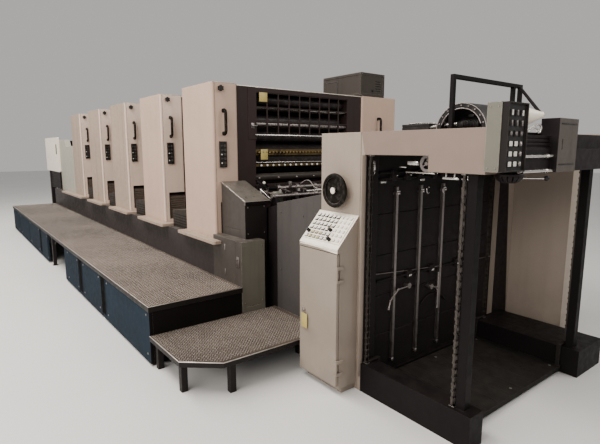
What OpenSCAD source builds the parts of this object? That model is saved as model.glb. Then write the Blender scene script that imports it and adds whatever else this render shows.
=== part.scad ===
// Five-unit sheet-fed offset printing press, with its feeder, delivery and operator's walkway.
// +X runs from feeder to delivery, +Y from the operator's side to the drive side, +Z up.
// The origin is on the floor, under the middle of the whole machine.

/* [Line] */
// Distance from one printing unit to the next
unit_pitch = 1100; // [1060:10:1160]
// Length of a unit's covers along the line
cover_len = 580; // [540:10:620]
// Length of the feeder, up to the first unit
feeder_len = 2420; // [2400:10:2600]
// Length of the delivery, after the last unit
delivery_len = 2400; // [2400:10:2600]

/* [Widths] */
// Width of the walkway
walkway_w = 730; // [650:10:850]
// How far the bed stands out beyond the covers
plinth_step = 24; // [10:1:40]
// Width of an operator's side cover
op_cover_w = 231; // [200:1:260]
// Width between the two rows of covers
inner_w = 1450; // [1400:10:1550]
// Width of a drive side cover
drive_cover_w = 505; // [450:5:560]
// Width of the roller window between the side frames
window_w = 1083; // [1030:1:1120]

/* [Heights] */
// Height of the bed that carries the units
bed_h = 720; // [680:10:760]
// Thickness of the footplates under the covers
foot_t = 25; // [15:1:40]
// Height of the covers above the footplates
cover_h = 1265; // [1200:5:1320]
// Height of the walkway deck
deck_z = 430; // [380:5:480]
// Thickness of the deck plate
deck_t = 12; // [6:1:20]
// Height of the lower entry step
step_z = 226; // [190:2:260]

/* [Cover details] */
// Radius of the upright edges of the covers
cover_r = 16; // [6:1:30]
// How far a footplate reaches out in front of the bed
foot_out = 69; // [40:1:90]
// How far a footplate reaches past its cover along the line
foot_past = 140; // [100:5:180]
// Diameter of the bar of a grab handle
grab_d = 16; // [12:1:20]
// Length of a grab handle
grab_len = 210; // [160:5:260]
// Diameter of the round knob on a cover
knob_d = 50; // [40:1:60]
// Height of the button strip on a cover
strip_h = 211; // [180:1:240]
// Width of the button strip on a cover
strip_w = 62; // [50:1:70]
// Height of the motor box on the last unit
motor_h = 230; // [150:5:300]
// Height of the louvred opening at the foot of an operator's cover
louvre_h = 270; // [200:10:320]
// How far the louvred opening lies in from the cover's outer face
louvre_in = 56; // [40:2:80]
// Depth of the louvred opening
louvre_depth = 60; // [40:2:80]
// Distance from louvre to louvre
louvre_pitch = 22; // [16:1:30]

/* [Rollers] */
// Diameter of the plate cylinder
plate_d = 270; // [240:2:290]
// Diameter of an ink form roller
form_d = 84; // [70:1:90]
// Diameter of a roller journal
journal_d = 36; // [24:1:40]
// Number of ink keys on one unit
key_count = 28; // [20:1:32]

/* [Delivery] */
// Height of the top of the delivery frame
delivery_top = 1575; // [1540:5:1620]
// Thickness of a delivery side frame
frame_t = 117; // [90:1:130]
// Depth of the deep part of the delivery beam
beam_deep = 210; // [190:5:240]
// Depth of the shallow part of the delivery beam
beam_shallow = 129; // [110:1:150]
// Length of the delivery column along the line
column_len = 380; // [340:5:420]
// Diameter of the handwheel
wheel_d = 210; // [180:2:240]
// Height of the handwheel's centre
wheel_z = 1230; // [1210:2:1260]
// Pitch of the hoist chains
chain_pitch = 38.1; // [31.75:0.05:44]
// Travel of the pile board
pile_travel = 1100; // [600:10:1140]
// Clear width of the bay that the pile of sheets stands in
bay_w = 1120; // [1080:5:1180]

/* [Feeder] */
// Height of the feeder's side panels at their top
feeder_top = 1690; // [1650:10:1720]
// Height of the lower edge of the feeder's side panels
feeder_low = 1050; // [1040:5:1100]
// Length of the feeder's pile bay with its posts
feeder_bay = 1210; // [1150:10:1210]
// Height of the infeed section's operator's cover
infeed_top = 1516; // [1450:2:1560]
// Length of the infeed section's operator's cover
infeed_len = 610; // [560:10:640]

/* [Console] */
// Width of the console
console_w = 356; // [330:2:370]
// Depth of the console
console_d = 168; // [150:2:220]
// Height of the console's front edge
console_front_z = 905; // [860:5:950]
// Height of the console's back edge
console_back_z = 1091; // [1050:1:1100]
// Thickness of the console's door
door_t = 18; // [14:1:24]

/* [Hidden] */
$fn = 48;

// Running clearance round pieces that move, and the seat gap where they rest
clear = 5;
seat = 0.3;
unit_count = 5;

// Places across the machine, from the walkway's outer edge to the back of the drive covers
full_w = walkway_w + plinth_step + op_cover_w + inner_w + drive_cover_w;
y_walk = -full_w / 2;
y_bed = y_walk + walkway_w;
y_cover = y_bed + plinth_step;
y_inner = y_cover + op_cover_w;
y_drive = y_inner + inner_w;
y_back = y_drive + drive_cover_w;
y_mid = (y_inner + y_drive) / 2;

// Places along the machine
units_len = (unit_count - 1) * unit_pitch + cover_len;
full_len = feeder_len + units_len + delivery_len;
x_start = -full_len / 2;
x_units = x_start + feeder_len;
x_press_end = x_units + units_len;
x_end = full_len / 2;
gap_len = unit_pitch - cover_len;
bed_lead = 60;
infeed_x1 = x_units - bed_lead;

// Heights of the covers
z_cover = bed_h + foot_t;
z_top = z_cover + cover_h;

// The roller window in each unit body
hood_drop = 12;
window_z0 = bed_h + 450;
window_z1 = z_top - 40;
window_depth = 440;
body_inset = 15;

// The delivery
x_core = x_press_end + 1170;
x_bay = x_core + column_len;
x_beam_end = x_end - 100;
y_rail = y_mid - 797;
y_rail_in = y_rail + frame_t;
beam_z_deep = delivery_top - beam_deep;
beam_z_shallow = delivery_top - beam_shallow;
core_top = delivery_top - 15;
sill_h = 180;
board_z = 20;
board_t = 30;
bay_mid = y_rail_in + bay_w / 2;
core_face = x_bay - 40;

// The handwheel on the column
wheel_x = x_core + 180;
wheel_out = 50;
boss_h = 24;

// The delivery end tail, between the last unit and the console
x_tail = x_press_end + 455;
tail_rise = 0.2;
tail_z = 1057;
panel_t = 12;

function face_x(i) = x_units + cover_len + i * unit_pitch;
function mirror_y(y) = 2 * y_mid - y;
function mirror_bay(y) = 2 * bay_mid - y;
function tail_top(x) = tail_z + tail_rise * (x - x_tail);

// A box between two corners
module block(x0, x1, y0, y1, z0, z1) {
    translate([x0, y0, z0]) cube([x1 - x0, y1 - y0, z1 - z0]);
}

// A round bar along Y
module bar_y(x, z, y0, y1, d) {
    translate([x, y0, z]) rotate([-90, 0, 0]) cylinder(h = y1 - y0, d = d);
}

// A round bar along X
module bar_x(y, z, x0, x1, d) {
    translate([x0, y, z]) rotate([0, 90, 0]) cylinder(h = x1 - x0, d = d);
}

// A round bar along Z
module bar_z(x, y, z0, z1, d) {
    translate([x, y, z0]) cylinder(h = z1 - z0, d = d);
}

// A round bar from one point to another
module strut(p, q, d) {
    v = q - p;
    translate(p) rotate([0, acos(v.z / norm(v)), atan2(v.y, v.x)]) cylinder(h = norm(v), d = d);
}

// A profile in X and Z, carried along Y
module profile_y(y0, y1) {
    translate([0, y1, 0]) rotate([90, 0, 0]) linear_extrude(y1 - y0) children();
}

// A rectangle with round corners
module round_rect(w, h, r) {
    translate([r, 0]) square([w - 2 * r, h]);
    translate([0, r]) square([w, h - 2 * r]);
    for (x = [r, w - r], y = [r, h - r]) translate([x, y]) circle(r);
}

// The same thing on the operator's side and on the drive side
module both_sides() {
    children();
    translate([0, 2 * y_mid, 0]) mirror([0, 1, 0]) children();
}

// Bed with a toe recess along the drive side, access panels on its face and wings along the infeed
module press_bed() {
    toe = 60;
    toe_h = 100;
    panel_in = 40;
    panel_d = 8;
    bed_y1 = y_back - plinth_step;
    color([0.24, 0.22, 0.22]) union() {
        difference() {
            block(infeed_x1, x_press_end, y_bed, bed_y1, 0, bed_h);
            block(infeed_x1 - 1, x_press_end + 1, bed_y1 - toe, bed_y1 + 1, -1, toe_h);
            for (i = [0 : unit_count - 1])
                block(face_x(i) - cover_len + panel_in, face_x(i) - panel_in, bed_y1 - panel_d, bed_y1 + 1,
                    toe_h + 2 * panel_in, bed_h - 2 * panel_in);
        }
        both_sides() block(x_deck_start + 30, infeed_x1 + 1, y_bed, feeder_y, 0, bed_h);
    }
}

// Checker plate deck with a rim along its open edges
rim_h = 38;
rim_t = 6;
x_deck_start = x_units - 1670;
x_deck_end = x_tail + 5;

module walkway_deck() {
    color([0.5, 0.47, 0.44]) union() {
        block(x_deck_start, x_deck_end, y_walk, y_bed, deck_z - deck_t, deck_z);
        block(x_deck_start, x_deck_end, y_walk, y_walk + rim_t, deck_z - rim_h, deck_z);
        block(x_deck_end - rim_t, x_deck_end, y_walk, y_bed, deck_z - rim_h, deck_z);
        block(x_deck_start, x_deck_start + rim_t, y_walk, y_bed, deck_z - rim_h, deck_z);
    }
}

// Frame under the deck: cross frames of square tube and two rails
tube = 40;
rail_z = deck_z - deck_t - tube;
frame_in = 30;
leg_count = 9;

module walkway_frame() {
    rail_in = 10;
    leg_y = [y_walk + frame_in, y_bed - rail_in - tube];
    leg_pitch = (x_deck_end - x_deck_start - 2 * frame_in - tube) / (leg_count - 1);
    color([0.15, 0.15, 0.16]) union() {
        for (y = leg_y) block(x_deck_start + rail_in, x_deck_end - rail_in, y, y + tube, rail_z,
            rail_z + tube);
        for (k = [0 : leg_count - 1]) {
            x = x_deck_start + frame_in + k * leg_pitch;
            block(x, x + tube, leg_y[0], leg_y[1] + tube, rail_z, rail_z + tube);
            for (y = leg_y) block(x, x + tube, y, y + tube, 0, rail_z + 1);
        }
    }
}

// Sheet panels on the walkway's outer side, with slits between them and one bay left open
panel_slit = 30;
panel_low = 20;
panel_lens = [790, 1000, 975, 485, 0, 645, 810, 1165];
open_bay = 4;
open_len = 990;

function sum_to(v, n) = n == 0 ? 0 : v[n - 1] + sum_to(v, n - 1);

module walkway_panels() {
    fit = (x_deck_end - x_deck_start - 10 - len(panel_lens) * panel_slit - open_len)
        / sum_to(panel_lens, len(panel_lens));
    color([0.2, 0.26, 0.33]) union() {
        for (k = [0 : len(panel_lens) - 1]) {
            past = k > open_bay ? open_len : 0;
            x = x_deck_start + past + (k + 1) * panel_slit + fit * sum_to(panel_lens, k);
            if (k != open_bay)
                block(x, x + fit * panel_lens[k], y_walk + rim_t, y_walk + frame_in, panel_low,
                    rail_z + tube);
        }
        block(x_deck_end - 10, x_deck_end - rim_t, y_walk + frame_in, y_bed - 10, panel_low, rail_z + tube);
    }
}

// Lower step of checker plate, with a chamfered corner, a rim and legs
step_x1 = x_tail + 665;
step_t = 10;
step_rim = 34;
step_cut_x = 175;
step_cut_y = 205;

module step_outline(inset) {
    polygon([
        [x_deck_end, y_walk + inset], [step_x1 - step_cut_x - inset * 0.6, y_walk + inset],
        [step_x1 - inset, y_walk + step_cut_y + inset * 0.6], [step_x1 - inset, y_rail_in - inset],
        [x_deck_end, y_rail_in - inset]
    ]);
}

module entry_step() {
    leg = 40;
    color([0.5, 0.47, 0.44]) union() {
        difference() {
            translate([0, 0, step_z - step_rim]) linear_extrude(step_rim) step_outline(0);
            translate([0, 0, step_z - step_rim - 1]) linear_extrude(step_rim - step_t + 1)
                step_outline(rim_t);
        }
        for (x = [x_deck_end + 20, step_x1 - step_cut_x - leg - 40], y = [y_walk + 30,
            y_rail_in - leg - 60])
            block(x, x + leg, y, y + leg, 0, step_z - step_t + 1);
        block(step_x1 - leg - 30, step_x1 - 30, y_walk + step_cut_y + 60, y_walk + step_cut_y + 60 + leg,
            0, step_z - step_t + 1);
    }
}

// Footplates that carry the operator's side covers
module footplates() {
    foot_r = 20;
    color([0.78, 0.74, 0.68]) difference() {
        union() {
            for (i = [0 : unit_count - 1])
                translate([face_x(i) - cover_len, y_bed - foot_out, bed_h])
                    linear_extrude(foot_t) round_rect(cover_len + foot_past,
                        y_inner - y_bed + foot_out, foot_r);
            translate([infeed_x1 - infeed_len, y_bed - foot_out, bed_h])
                linear_extrude(foot_t) round_rect(infeed_len + 2 * foot_r, feeder_y - y_bed + foot_out,
                    foot_r);
        }
        block(x_press_end, x_press_end + foot_past + 1, y_bed, y_inner + 1, bed_h - 1, z_cover + 1);
    }
}

// One cover: upright edges and top edges rounded
module cover(x0, x1, y0, y1, z0, z1) {
    top_r = 10;
    intersection() {
        translate([x0, y0, z0]) linear_extrude(z1 - z0) round_rect(x1 - x0, y1 - y0, cover_r);
        profile_y(y0 - 1, y1 + 1) translate([x0, z0 - 2 * top_r]) round_rect(x1 - x0,
            z1 - z0 + 2 * top_r, top_r);
    }
}

// Louvred opening low on an operator's cover, and the seams and vents of the doors
louvre_z = z_cover + 25;
seam_w = 4;
seam_d = 3;

// A groove round a panel, in a face that looks along +Y
module panel_groove(x0, x1, y, z0, z1) {
    difference() {
        block(x0, x1, y - seam_d, y + 1, z0, z1);
        block(x0 + seam_w, x1 - seam_w, y - seam_d - 1, y + 2, z0 + seam_w, z1 - seam_w);
    }
}

module drive_door(x0, x1, z0, z1) {
    door_in = 40;
    vents = 8;
    vent_in = 110;
    vent_pitch = 26;
    panel_groove(x0 + door_in, x1 - door_in, y_back, z0 + door_in, z1 - door_in);
    for (k = [0 : vents - 1], z = [z0 + vent_in, z1 - vent_in - vents * vent_pitch])
        block(x0 + vent_in, x1 - vent_in, y_back - 2 * seam_d, y_back + 1, z + k * vent_pitch,
            z + (k + 0.45) * vent_pitch);
}

module unit_covers(i) {
    x1 = face_x(i);
    x0 = x1 - cover_len;
    color([0.78, 0.74, 0.68]) {
        difference() {
            cover(x0, x1, y_cover, y_inner, z_cover, z_top);
            block(x1 - louvre_depth, x1 + 1, y_cover + louvre_in, y_inner + 1, louvre_z,
                louvre_z + louvre_h);
            block(x1 - seam_d, x1 + 1, y_cover + cover_r + 6, y_cover + cover_r + 6 + seam_w,
                z_cover - 1, z_top + 1);
        }
        difference() {
            cover(x0, x1, y_drive, y_back, bed_h, z_top);
            drive_door(x0, x1, bed_h, z_top);
        }
    }
}

// Louvres under a sloping plate, which reach from the unit's body into the opening in its cover
module unit_louvres(x1) {
    side = 4;
    set_back = body_inset + 1;
    front = x1 - set_back;
    back = x1 - louvre_depth + side;
    top = louvre_z + louvre_h;
    difference() {
        profile_y(y_cover + louvre_in + side, y_inner + 1) polygon([
            [back, louvre_z + side], [front, louvre_z + side], [front, top - 48], [back, top - 2 * side]
        ]);
        for (z = [louvre_z + side + louvre_pitch / 2 : louvre_pitch : top - 48 - louvre_pitch])
            profile_y(y_cover + louvre_in + 3 * side, y_inner - 2 * side) polygon([
                [front - louvre_pitch / 2, z + louvre_pitch / 2], [front + 1, z], [front + 1,
                    z + louvre_pitch / 2]
            ]);
    }
}

// Dark middle of a unit: side frames, hood, back wall and lower housing round the roller window
module unit_body(i) {
    x1 = face_x(i) - body_inset;
    x0 = face_x(i) - cover_len + body_inset;
    lid_in = 60;
    color([0.2, 0.17, 0.19]) union() {
        difference() {
            block(x0, x1, y_inner, y_drive, bed_h, z_top - hood_drop);
            block(x1 - window_depth, x1 + 1, y_mid - window_w / 2, y_mid + window_w / 2, window_z0,
                window_z1);
            block(x0 - 1, x0 + 30, y_mid - window_w / 2, y_mid + window_w / 2, window_z0, window_z1);
            for (x = [x0 + lid_in, x1 - lid_in])
                block(x, x + seam_w, y_inner - 1, y_drive + 1, z_top - hood_drop - seam_d, z_top);
        }
        unit_louvres(face_x(i));
    }
}

// Guards over the transfer cylinders, and the step between two units
module transfer_guards() {
    step_h = 150;
    step_rise = 50;
    step_w = 185;
    nose = 150;
    guard_h = 290;
    guard_drop = 60;
    color([0.2, 0.17, 0.19]) for (i = [0 : unit_count - 2]) {
        x0 = face_x(i) - body_inset;
        x1 = x0 + gap_len + 2 * body_inset;
        profile_y(y_inner + step_w, y_drive) polygon([
            [x0, bed_h], [x1, bed_h], [x1, bed_h + guard_h], [x0 + nose, bed_h + guard_h - guard_drop],
            [x0, bed_h + guard_h - guard_drop]
        ]);
        profile_y(y_inner, y_inner + step_w) polygon([
            [x0, bed_h], [x1, bed_h], [x1, bed_h + step_h + step_rise], [x0, bed_h + step_h]
        ]);
        profile_y(y_cover + 30, y_inner) polygon([
            [face_x(i) + foot_past, bed_h], [face_x(i) + gap_len, bed_h],
            [face_x(i) + gap_len, bed_h + step_h + step_rise],
            [face_x(i) + foot_past, bed_h + step_h + step_rise / 4]
        ]);
    }
}

// Rollers that show in one window: distance behind the body's face, height, diameter
function rollers() = [
    [200, window_z0 + 225, plate_d], [52, window_z0 + 60, 64], [110, window_z0 + 420, form_d],
    [60, window_z0 + 522, form_d * 0.7], [150, window_z0 + 560, form_d * 1.2],
    [62, window_z0 + 660, form_d * 0.5], [110, window_z0 + 735, form_d]
];

module roller_train() {
    side = 5;
    w0 = y_mid - window_w / 2;
    w1 = y_mid + window_w / 2;
    color([0.35, 0.33, 0.34]) for (i = [0 : unit_count - 1], r = rollers()) {
        x = face_x(i) - body_inset - r[0];
        bar_y(x, r[1], w0 + side, w1 - side, r[2]);
        bar_y(x, r[1], w0, w1, min(journal_d, r[2] * 0.6));
    }
}

// Rail with a row of ink keys, and a bar with a row of studs below it
module ink_key_rows() {
    w0 = y_mid - window_w / 2;
    w1 = y_mid + window_w / 2;
    key_z = window_z0 + 280;
    stud_z = window_z0 + 165;
    key_d = 18;
    color([0.55, 0.5, 0.35]) for (i = [0 : unit_count - 1]) {
        x = face_x(i) - body_inset;
        block(x - 55, x - 25, w0, w1, key_z - 25, key_z + 25);
        for (k = [1 : key_count]) bar_x(w0 + k * window_w / (key_count + 1), key_z, x - 26, x - 8, key_d);
        block(x - 50, x - 25, w0, w1, stud_z - 10, stud_z + 10);
        for (k = [1 : 16]) bar_x(w0 + k * window_w / 17, stud_z, x - 26, x - 14, 12);
    }
}

// Open guards in front of the rollers: a frame, a middle bar and a grid of thin bars
module roller_guards() {
    w0 = y_mid - window_w / 2;
    w1 = y_mid + window_w / 2;
    t = 8;
    z_low = window_z0 + 420;
    bays = 9;
    bar = 10;
    stile = 72;
    head = 24;
    skin = 5;
    color([0.16, 0.14, 0.16]) for (i = [0 : unit_count - 1]) {
        x = face_x(i) - body_inset;
        for (z = [z_low, z_low + 120, z_low + 240, window_z1 - bar - t])
            block(x - t, x, w0, w1, z, z + bar);
        for (k = [0 : bays]) {
            y = w0 + k * (window_w - bar) / bays;
            block(x - t, x, y, y + bar, z_low, window_z1);
        }
        for (y = [w0 - stile, w1 - bar]) block(x, x + skin, y, y + stile + bar, z_low - 30, window_z1 + head);
        block(x, x + skin, w0 - stile, w1 + stile, window_z1 - bar, window_z1 + head);
    }
}

// A black grab handle standing on a face that looks along +X
module grab_handle(x, y, z) {
    stand = 45;
    bar_z(x + stand, y, z, z + grab_len, grab_d);
    for (e = [z + grab_d, z + grab_len - grab_d]) bar_x(y, e, x, x + stand, grab_d);
}

module grab_handles() {
    color([0.08, 0.08, 0.08]) for (i = [0 : unit_count - 1]) {
        grab_handle(face_x(i), y_cover + 96, z_cover + 845);
        grab_handle(face_x(i), y_drive + 235, z_cover + 845);
    }
}

// Round knob and button strip on each operator's side cover
module unit_controls() {
    strip_t = 18;
    strip_z = z_cover + 584;
    strip_y = y_cover + 84;
    buttons = 5;
    button_d = 22;
    lamp = 13;
    lobes = 6;
    lobe_d = 13;
    color([0.12, 0.11, 0.12]) for (i = [0 : unit_count - 1]) {
        x = face_x(i);
        translate([x, y_cover + 72, z_top - 49]) rotate([0, 90, 0]) {
            cylinder(h = 28, d = knob_d - lobe_d);
            for (a = [1 : lobes]) rotate([0, 0, a * 360 / lobes])
                translate([(knob_d - lobe_d) / 2, 0, 8]) cylinder(h = 20, d = lobe_d);
        }
        block(x, x + strip_t, strip_y - strip_w / 2, strip_y + strip_w / 2, strip_z, strip_z + strip_h);
        for (k = [1 : buttons]) {
            z = strip_z + k * strip_h / (buttons + 1);
            bar_x(strip_y + strip_w / 5, z, x + strip_t - 1, x + strip_t + 8, button_d);
            block(x + strip_t - 1, x + strip_t + 3, strip_y - strip_w / 5 - lamp,
                strip_y - strip_w / 5 + lamp / 2,
                z - lamp / 2, z + lamp / 2);
        }
    }
}

// Motor box on the last unit's drive side
module motor_box() {
    x1 = x_press_end;
    y0 = y_drive - 22;
    y1 = y_drive + 321;
    edge = 25;
    skin = 3;
    vents = 5;
    vent_pitch = 24;
    color([0.43, 0.4, 0.37]) difference() {
        block(x1 - cover_len, x1, y0, y1, z_top, z_top + motor_h);
        block(x1 - skin, x1 + 1, y0 + edge, y1 - edge, z_top + edge, z_top + motor_h - edge);
        block(x1 - cover_len + edge, x1 - edge, y0 - 1, y0 + skin, z_top + edge, z_top + motor_h - edge);
        for (k = [0 : vents - 1])
            block(x1 - 4 * skin, x1, y1 - 3 * edge - 60, y1 - 2 * edge, z_top + 2 * edge + k * vent_pitch,
                z_top + 2 * edge + (k + 0.4) * vent_pitch);
    }
}

// Dark cabinet at the end of the walkway, under the sloped cover
slope_z0 = 1212;
slope_z1 = 1075;
slope_reach = 385;
slope_t = 12;
slope_y = y_cover + 60;
cab_x = x_press_end + slope_reach - 15;

function slope_at(x) = slope_z0 - (slope_z0 - slope_z1) * (x - x_press_end) / slope_reach;

module end_cabinet() {
    y1 = y_rail_in - 10;
    low_y1 = y_rail_in - 90;
    low_h = 780;
    seam_x = x_tail - 90;
    color([0.22, 0.21, 0.21]) difference() {
        union() {
            profile_y(slope_y + 5, y1) polygon([
                [x_press_end, 0], [cab_x, 0], [cab_x, slope_at(cab_x) - slope_t], [x_press_end,
                    slope_z0 - slope_t]
            ]);
            block(x_press_end, x_tail, y_bed, low_y1, 0, low_h);
        }
        block(x_tail - 5, x_tail + 1, y_bed + 40, low_y1 - 40, step_z + 40, step_z + 44);
        block(seam_x, seam_x + 4, y_bed - 1, y_bed + 4, deck_z + 20, low_h + 1);
        block(x_press_end + 60, cab_x - 60, slope_y, slope_y + 9, low_h + 60, low_h + 64);
    }
}

module sloped_cover() {
    lip = 14;
    x1 = x_press_end + slope_reach;
    color([0.5, 0.5, 0.46]) profile_y(slope_y, y_rail_in + 18) polygon([
        [x_press_end, slope_z0 - slope_t], [cab_x, slope_at(cab_x) - slope_t],
        [cab_x, slope_z1 - slope_t - lip], [x1, slope_z1 - slope_t - lip],
        [x1, slope_z1], [x_press_end, slope_z0]
    ]);
}

// Closed housing over the gripper chains, from the last unit to the delivery
module chain_housing() {
    y0 = y_rail_in + panel_t;
    color([0.2, 0.17, 0.19]) profile_y(y0, mirror_y(y0)) polygon([
        [x_press_end, 0], [x_core, 0], [x_core, tail_top(x_core) - 20], [x_press_end,
            tail_top(x_press_end) - 20]
    ]);
}

// Grey side panels of the chain housing
module chain_side_panels() {
    y0 = y_rail_in;
    x_panel = x_tail + 45;
    color([0.42, 0.41, 0.4]) {
        profile_y(y0, y0 + panel_t) polygon([
            [x_panel, 0], [x_core, 0], [x_core, tail_top(x_core)], [x_panel, tail_top(x_panel)]
        ]);
        profile_y(mirror_y(y0) - panel_t, mirror_y(y0)) polygon([
            [x_press_end, 0], [x_core, 0], [x_core, tail_top(x_core)], [x_press_end, tail_top(x_press_end)]
        ]);
    }
}

// Shafts and levers on top of the chain housing, behind the sloped cover
module gripper_linkage() {
    y0 = y_rail_in + panel_t;
    x0 = x_press_end + 120;
    x1 = x0 + 260;
    z0 = tail_top(x0) + 152;
    z1 = tail_top(x1) + 60;
    cams = 7;
    cam_w = 30;
    arm = [[0, 44, 79], [0, 121, 55], [0, 172, 0]];
    arm_d = 22;
    knuckle_d = 29;
    cam_pitch = (mirror_y(y0) - y0 - 110) / (cams - 1);
    color([0.7, 0.7, 0.7]) union() {
        bar_y(x0, z0, y0 + 20, mirror_y(y0) - 20, 36);
        bar_y(x1, z1, y0 + 20, mirror_y(y0) - 20, 30);
        for (k = [0 : cams - 1]) {
            y = y0 + 40 + k * cam_pitch;
            profile_y(y, y + cam_w) {
                polygon([
                    [x0 - 50, tail_top(x0 - 50) - 20], [x0 + 70, tail_top(x0 + 70) - 20],
                    [x0 + 30, z0], [x0 - 30, z0]
                ]);
                translate([x0, z0]) circle(d = 64);
                polygon([
                    [x1 - 50, tail_top(x1 - 50) - 20], [x1 + 50, tail_top(x1 + 50) - 20],
                    [x1 + 22, z1], [x1 - 22, z1]
                ]);
                translate([x1, z1]) circle(d = 48);
            }
            strut([x0, y + cam_w / 2, z0 + 8], [x1, y + cam_w / 2, z1 + 8], 14);
        }
        for (k = [0 : len(arm) - 2]) {
            strut([x0, y0, z0] + arm[k], [x0, y0, z0] + arm[k + 1], arm_d);
            translate([x0, y0, z0] + arm[k]) sphere(d = knuckle_d);
        }
        bar_x(y_mid - 190, z0 - 66, x0 + 26, x0 + 54, 34);
        for (rise = [0, 44])
            strut([x0 + 40, y_mid - 190, z0 - 66], [x0 + 40, y_mid + 90, z0 - 66 + rise], 14);
    }
}

// Console with a slanted top, in front of the delivery column
console_x0 = x_core - 13;
console_x1 = console_x0 + console_w;
console_y1 = y_rail;
console_y0 = console_y1 - console_d;
console_base = 40;
hinge_d = 14;
hinge_x = console_x1 + 4;
hinge_y = console_y0 - 4;
door_z0 = console_base + 20;
door_z1 = console_front_z - 30;
hinge_heights = [door_z0 + 90, door_z1 - 150];
hinge_len = 60;

module console_cabinet() {
    lip_z = door_z1 + clear;
    color([0.78, 0.75, 0.7]) union() {
        translate([console_x1, 0, 0]) rotate([90, 0, -90]) linear_extrude(console_w) polygon([
            [-console_y1, console_base], [-console_y1, console_back_z], [-console_y0, console_front_z],
            [-console_y0, lip_z], [-(console_y0 + door_t + clear), lip_z],
            [-(console_y0 + door_t + clear), console_base]
        ]);
        block(console_x0 + 15, console_x1 - 15, console_y0 + 60, console_y1, 0, console_base + 1);
        for (h = hinge_heights, z = [h - seat - 18, h + hinge_len + seat]) {
            bar_z(hinge_x, hinge_y, z, z + 18, hinge_d);
            block(hinge_x - 2, hinge_x + 2 + hinge_d / 2, hinge_y, console_y0 + door_t + clear + 20, z,
                z + 18);
            block(console_x1 - 2, hinge_x + 2 + hinge_d / 2, console_y0 + door_t + clear + 8,
                console_y0 + door_t + clear + 20, z, z + 18);
        }
    }
}

// Door on the console's front, hinged on the side towards the delivery end
module console_door() {
    lock_in = 34;
    color([0.8, 0.77, 0.72]) union() {
        block(console_x0 + 3, console_x1 - 3, console_y0, console_y0 + door_t, door_z0, door_z1);
        for (h = hinge_heights) {
            bar_z(hinge_x, hinge_y, h, h + hinge_len, hinge_d);
            block(console_x1 - 20, hinge_x, console_y0 - 4, console_y0 + 1, h, h + hinge_len);
        }
        translate([console_x0 + lock_in, console_y0 + 1, (door_z0 + door_z1) / 2]) rotate([90, 0, 0])
            cylinder(h = 9, d = 26);
    }
}

// Control panel on the slanted top, with its rows of buttons
module console_panel() {
    rows = 6;
    columns = 9;
    slant = atan2(console_back_z - console_front_z, console_d);
    run = norm([console_back_z - console_front_z, console_d]);
    margin = 12;
    lip = 44;
    skin = 4;
    key = [20, 14, 5];
    knobs = [[1, 0], [2, 5], [0, 6]];
    step = [(console_w - 4 * margin - key.x) / (columns - 1), (run - lip - 2 * margin - key.y)
        / (rows - 1)];
    color([0.82, 0.8, 0.74]) translate([console_x0, console_y0, console_front_z]) rotate([slant, 0, 0])
        union() {
        translate([margin, lip - margin, 0]) cube([console_w - 2 * margin, run - lip, skin]);
        for (r = [0 : rows - 1], c = [0 : columns - 1])
            translate([2 * margin + c * step.x, lip + r * step.y, skin - 1]) {
                if (len([for (k = knobs) if (k == [r, c]) k]) == 0) cube(key);
                else translate([key.x / 2, key.y / 2, 0]) cylinder(h = 22, d = 18);
            }
    }
}

// Side frame of the delivery: a column and a beam that is deeper at its end
module delivery_side() {
    step_x = x_bay + 440;
    profile_y(y_rail, y_rail_in) polygon([
        [x_core, 0], [x_bay, 0], [x_bay, beam_z_shallow], [step_x, beam_z_shallow],
        [step_x, beam_z_deep], [x_beam_end, beam_z_deep], [x_beam_end, delivery_top],
        [x_core, delivery_top]
    ]);
}

module delivery_operator_frame() {
    seam_x = x_bay - 32;
    color([0.78, 0.74, 0.68]) union() {
        difference() {
            delivery_side();
            block(seam_x, seam_x + seam_w, y_rail - 1, y_rail + seam_d, -1, delivery_top + 1);
        }
        translate([wheel_x, y_rail, wheel_z]) rotate([90, 0, 0]) cylinder(h = boss_h, d = 46);
    }
}

// Drive side frame with the cabinet that stands against it
module delivery_drive_frame() {
    y1 = mirror_y(y_rail);
    cab_d = 380;
    cab_len = column_len + 430;
    cab_step = 110;
    cab_h = delivery_top - 60;
    door_in = 35;
    color([0.78, 0.74, 0.68]) union() {
        translate([0, 2 * y_mid, 0]) mirror([0, 1, 0]) delivery_side();
        difference() {
            linear_extrude(cab_h) polygon([
                [x_core, y1 - 1], [x_bay, y1 - 1], [x_bay, y1 + cab_step], [x_core + cab_len,
                    y1 + cab_step],
                [x_core + cab_len, y1 + cab_d], [x_core, y1 + cab_d]
            ]);
            for (x = [x_core, x_core + cab_len / 2])
                panel_groove(x + door_in, x + cab_len / 2 - door_in, y1 + cab_d, 2 * door_in,
                    cab_h - door_in);
        }
    }
}

// Dark inside of the delivery behind the pile, and the chain track above it
module delivery_core() {
    color([0.14, 0.12, 0.14]) difference() {
        union() {
            block(x_core, core_face, y_rail_in, mirror_y(y_rail_in), 0, core_top);
            block(core_face - 1, x_beam_end, y_rail_in, mirror_y(y_rail_in), beam_z_shallow, core_top);
        }
        for (z = [300 : 260 : 1200])
            block(core_face - 6, core_face + 1, y_rail_in + 40, mirror_y(y_rail_in) - 40, z, z + 8);
    }
}

// Handwheel: rim, dished web, hub and shaft
module handwheel() {
    rim_d = 26;
    color([0.06, 0.06, 0.06]) translate([wheel_x, y_rail - wheel_out, wheel_z]) rotate([90, 0, 0]) union() {
        rotate_extrude() translate([wheel_d / 2 - rim_d / 2, 0]) circle(d = rim_d);
        difference() {
            translate([0, 0, -8]) cylinder(h = 12, d = wheel_d - rim_d / 2);
            translate([0, 0, -4]) cylinder(h = 9, d = wheel_d - rim_d * 2);
        }
        translate([0, 0, -8]) cylinder(h = 24, d = 40);
        translate([0, 0, -wheel_out + boss_h + seat]) cylinder(h = wheel_out - boss_h - seat, d = 30);
    }
}

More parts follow.
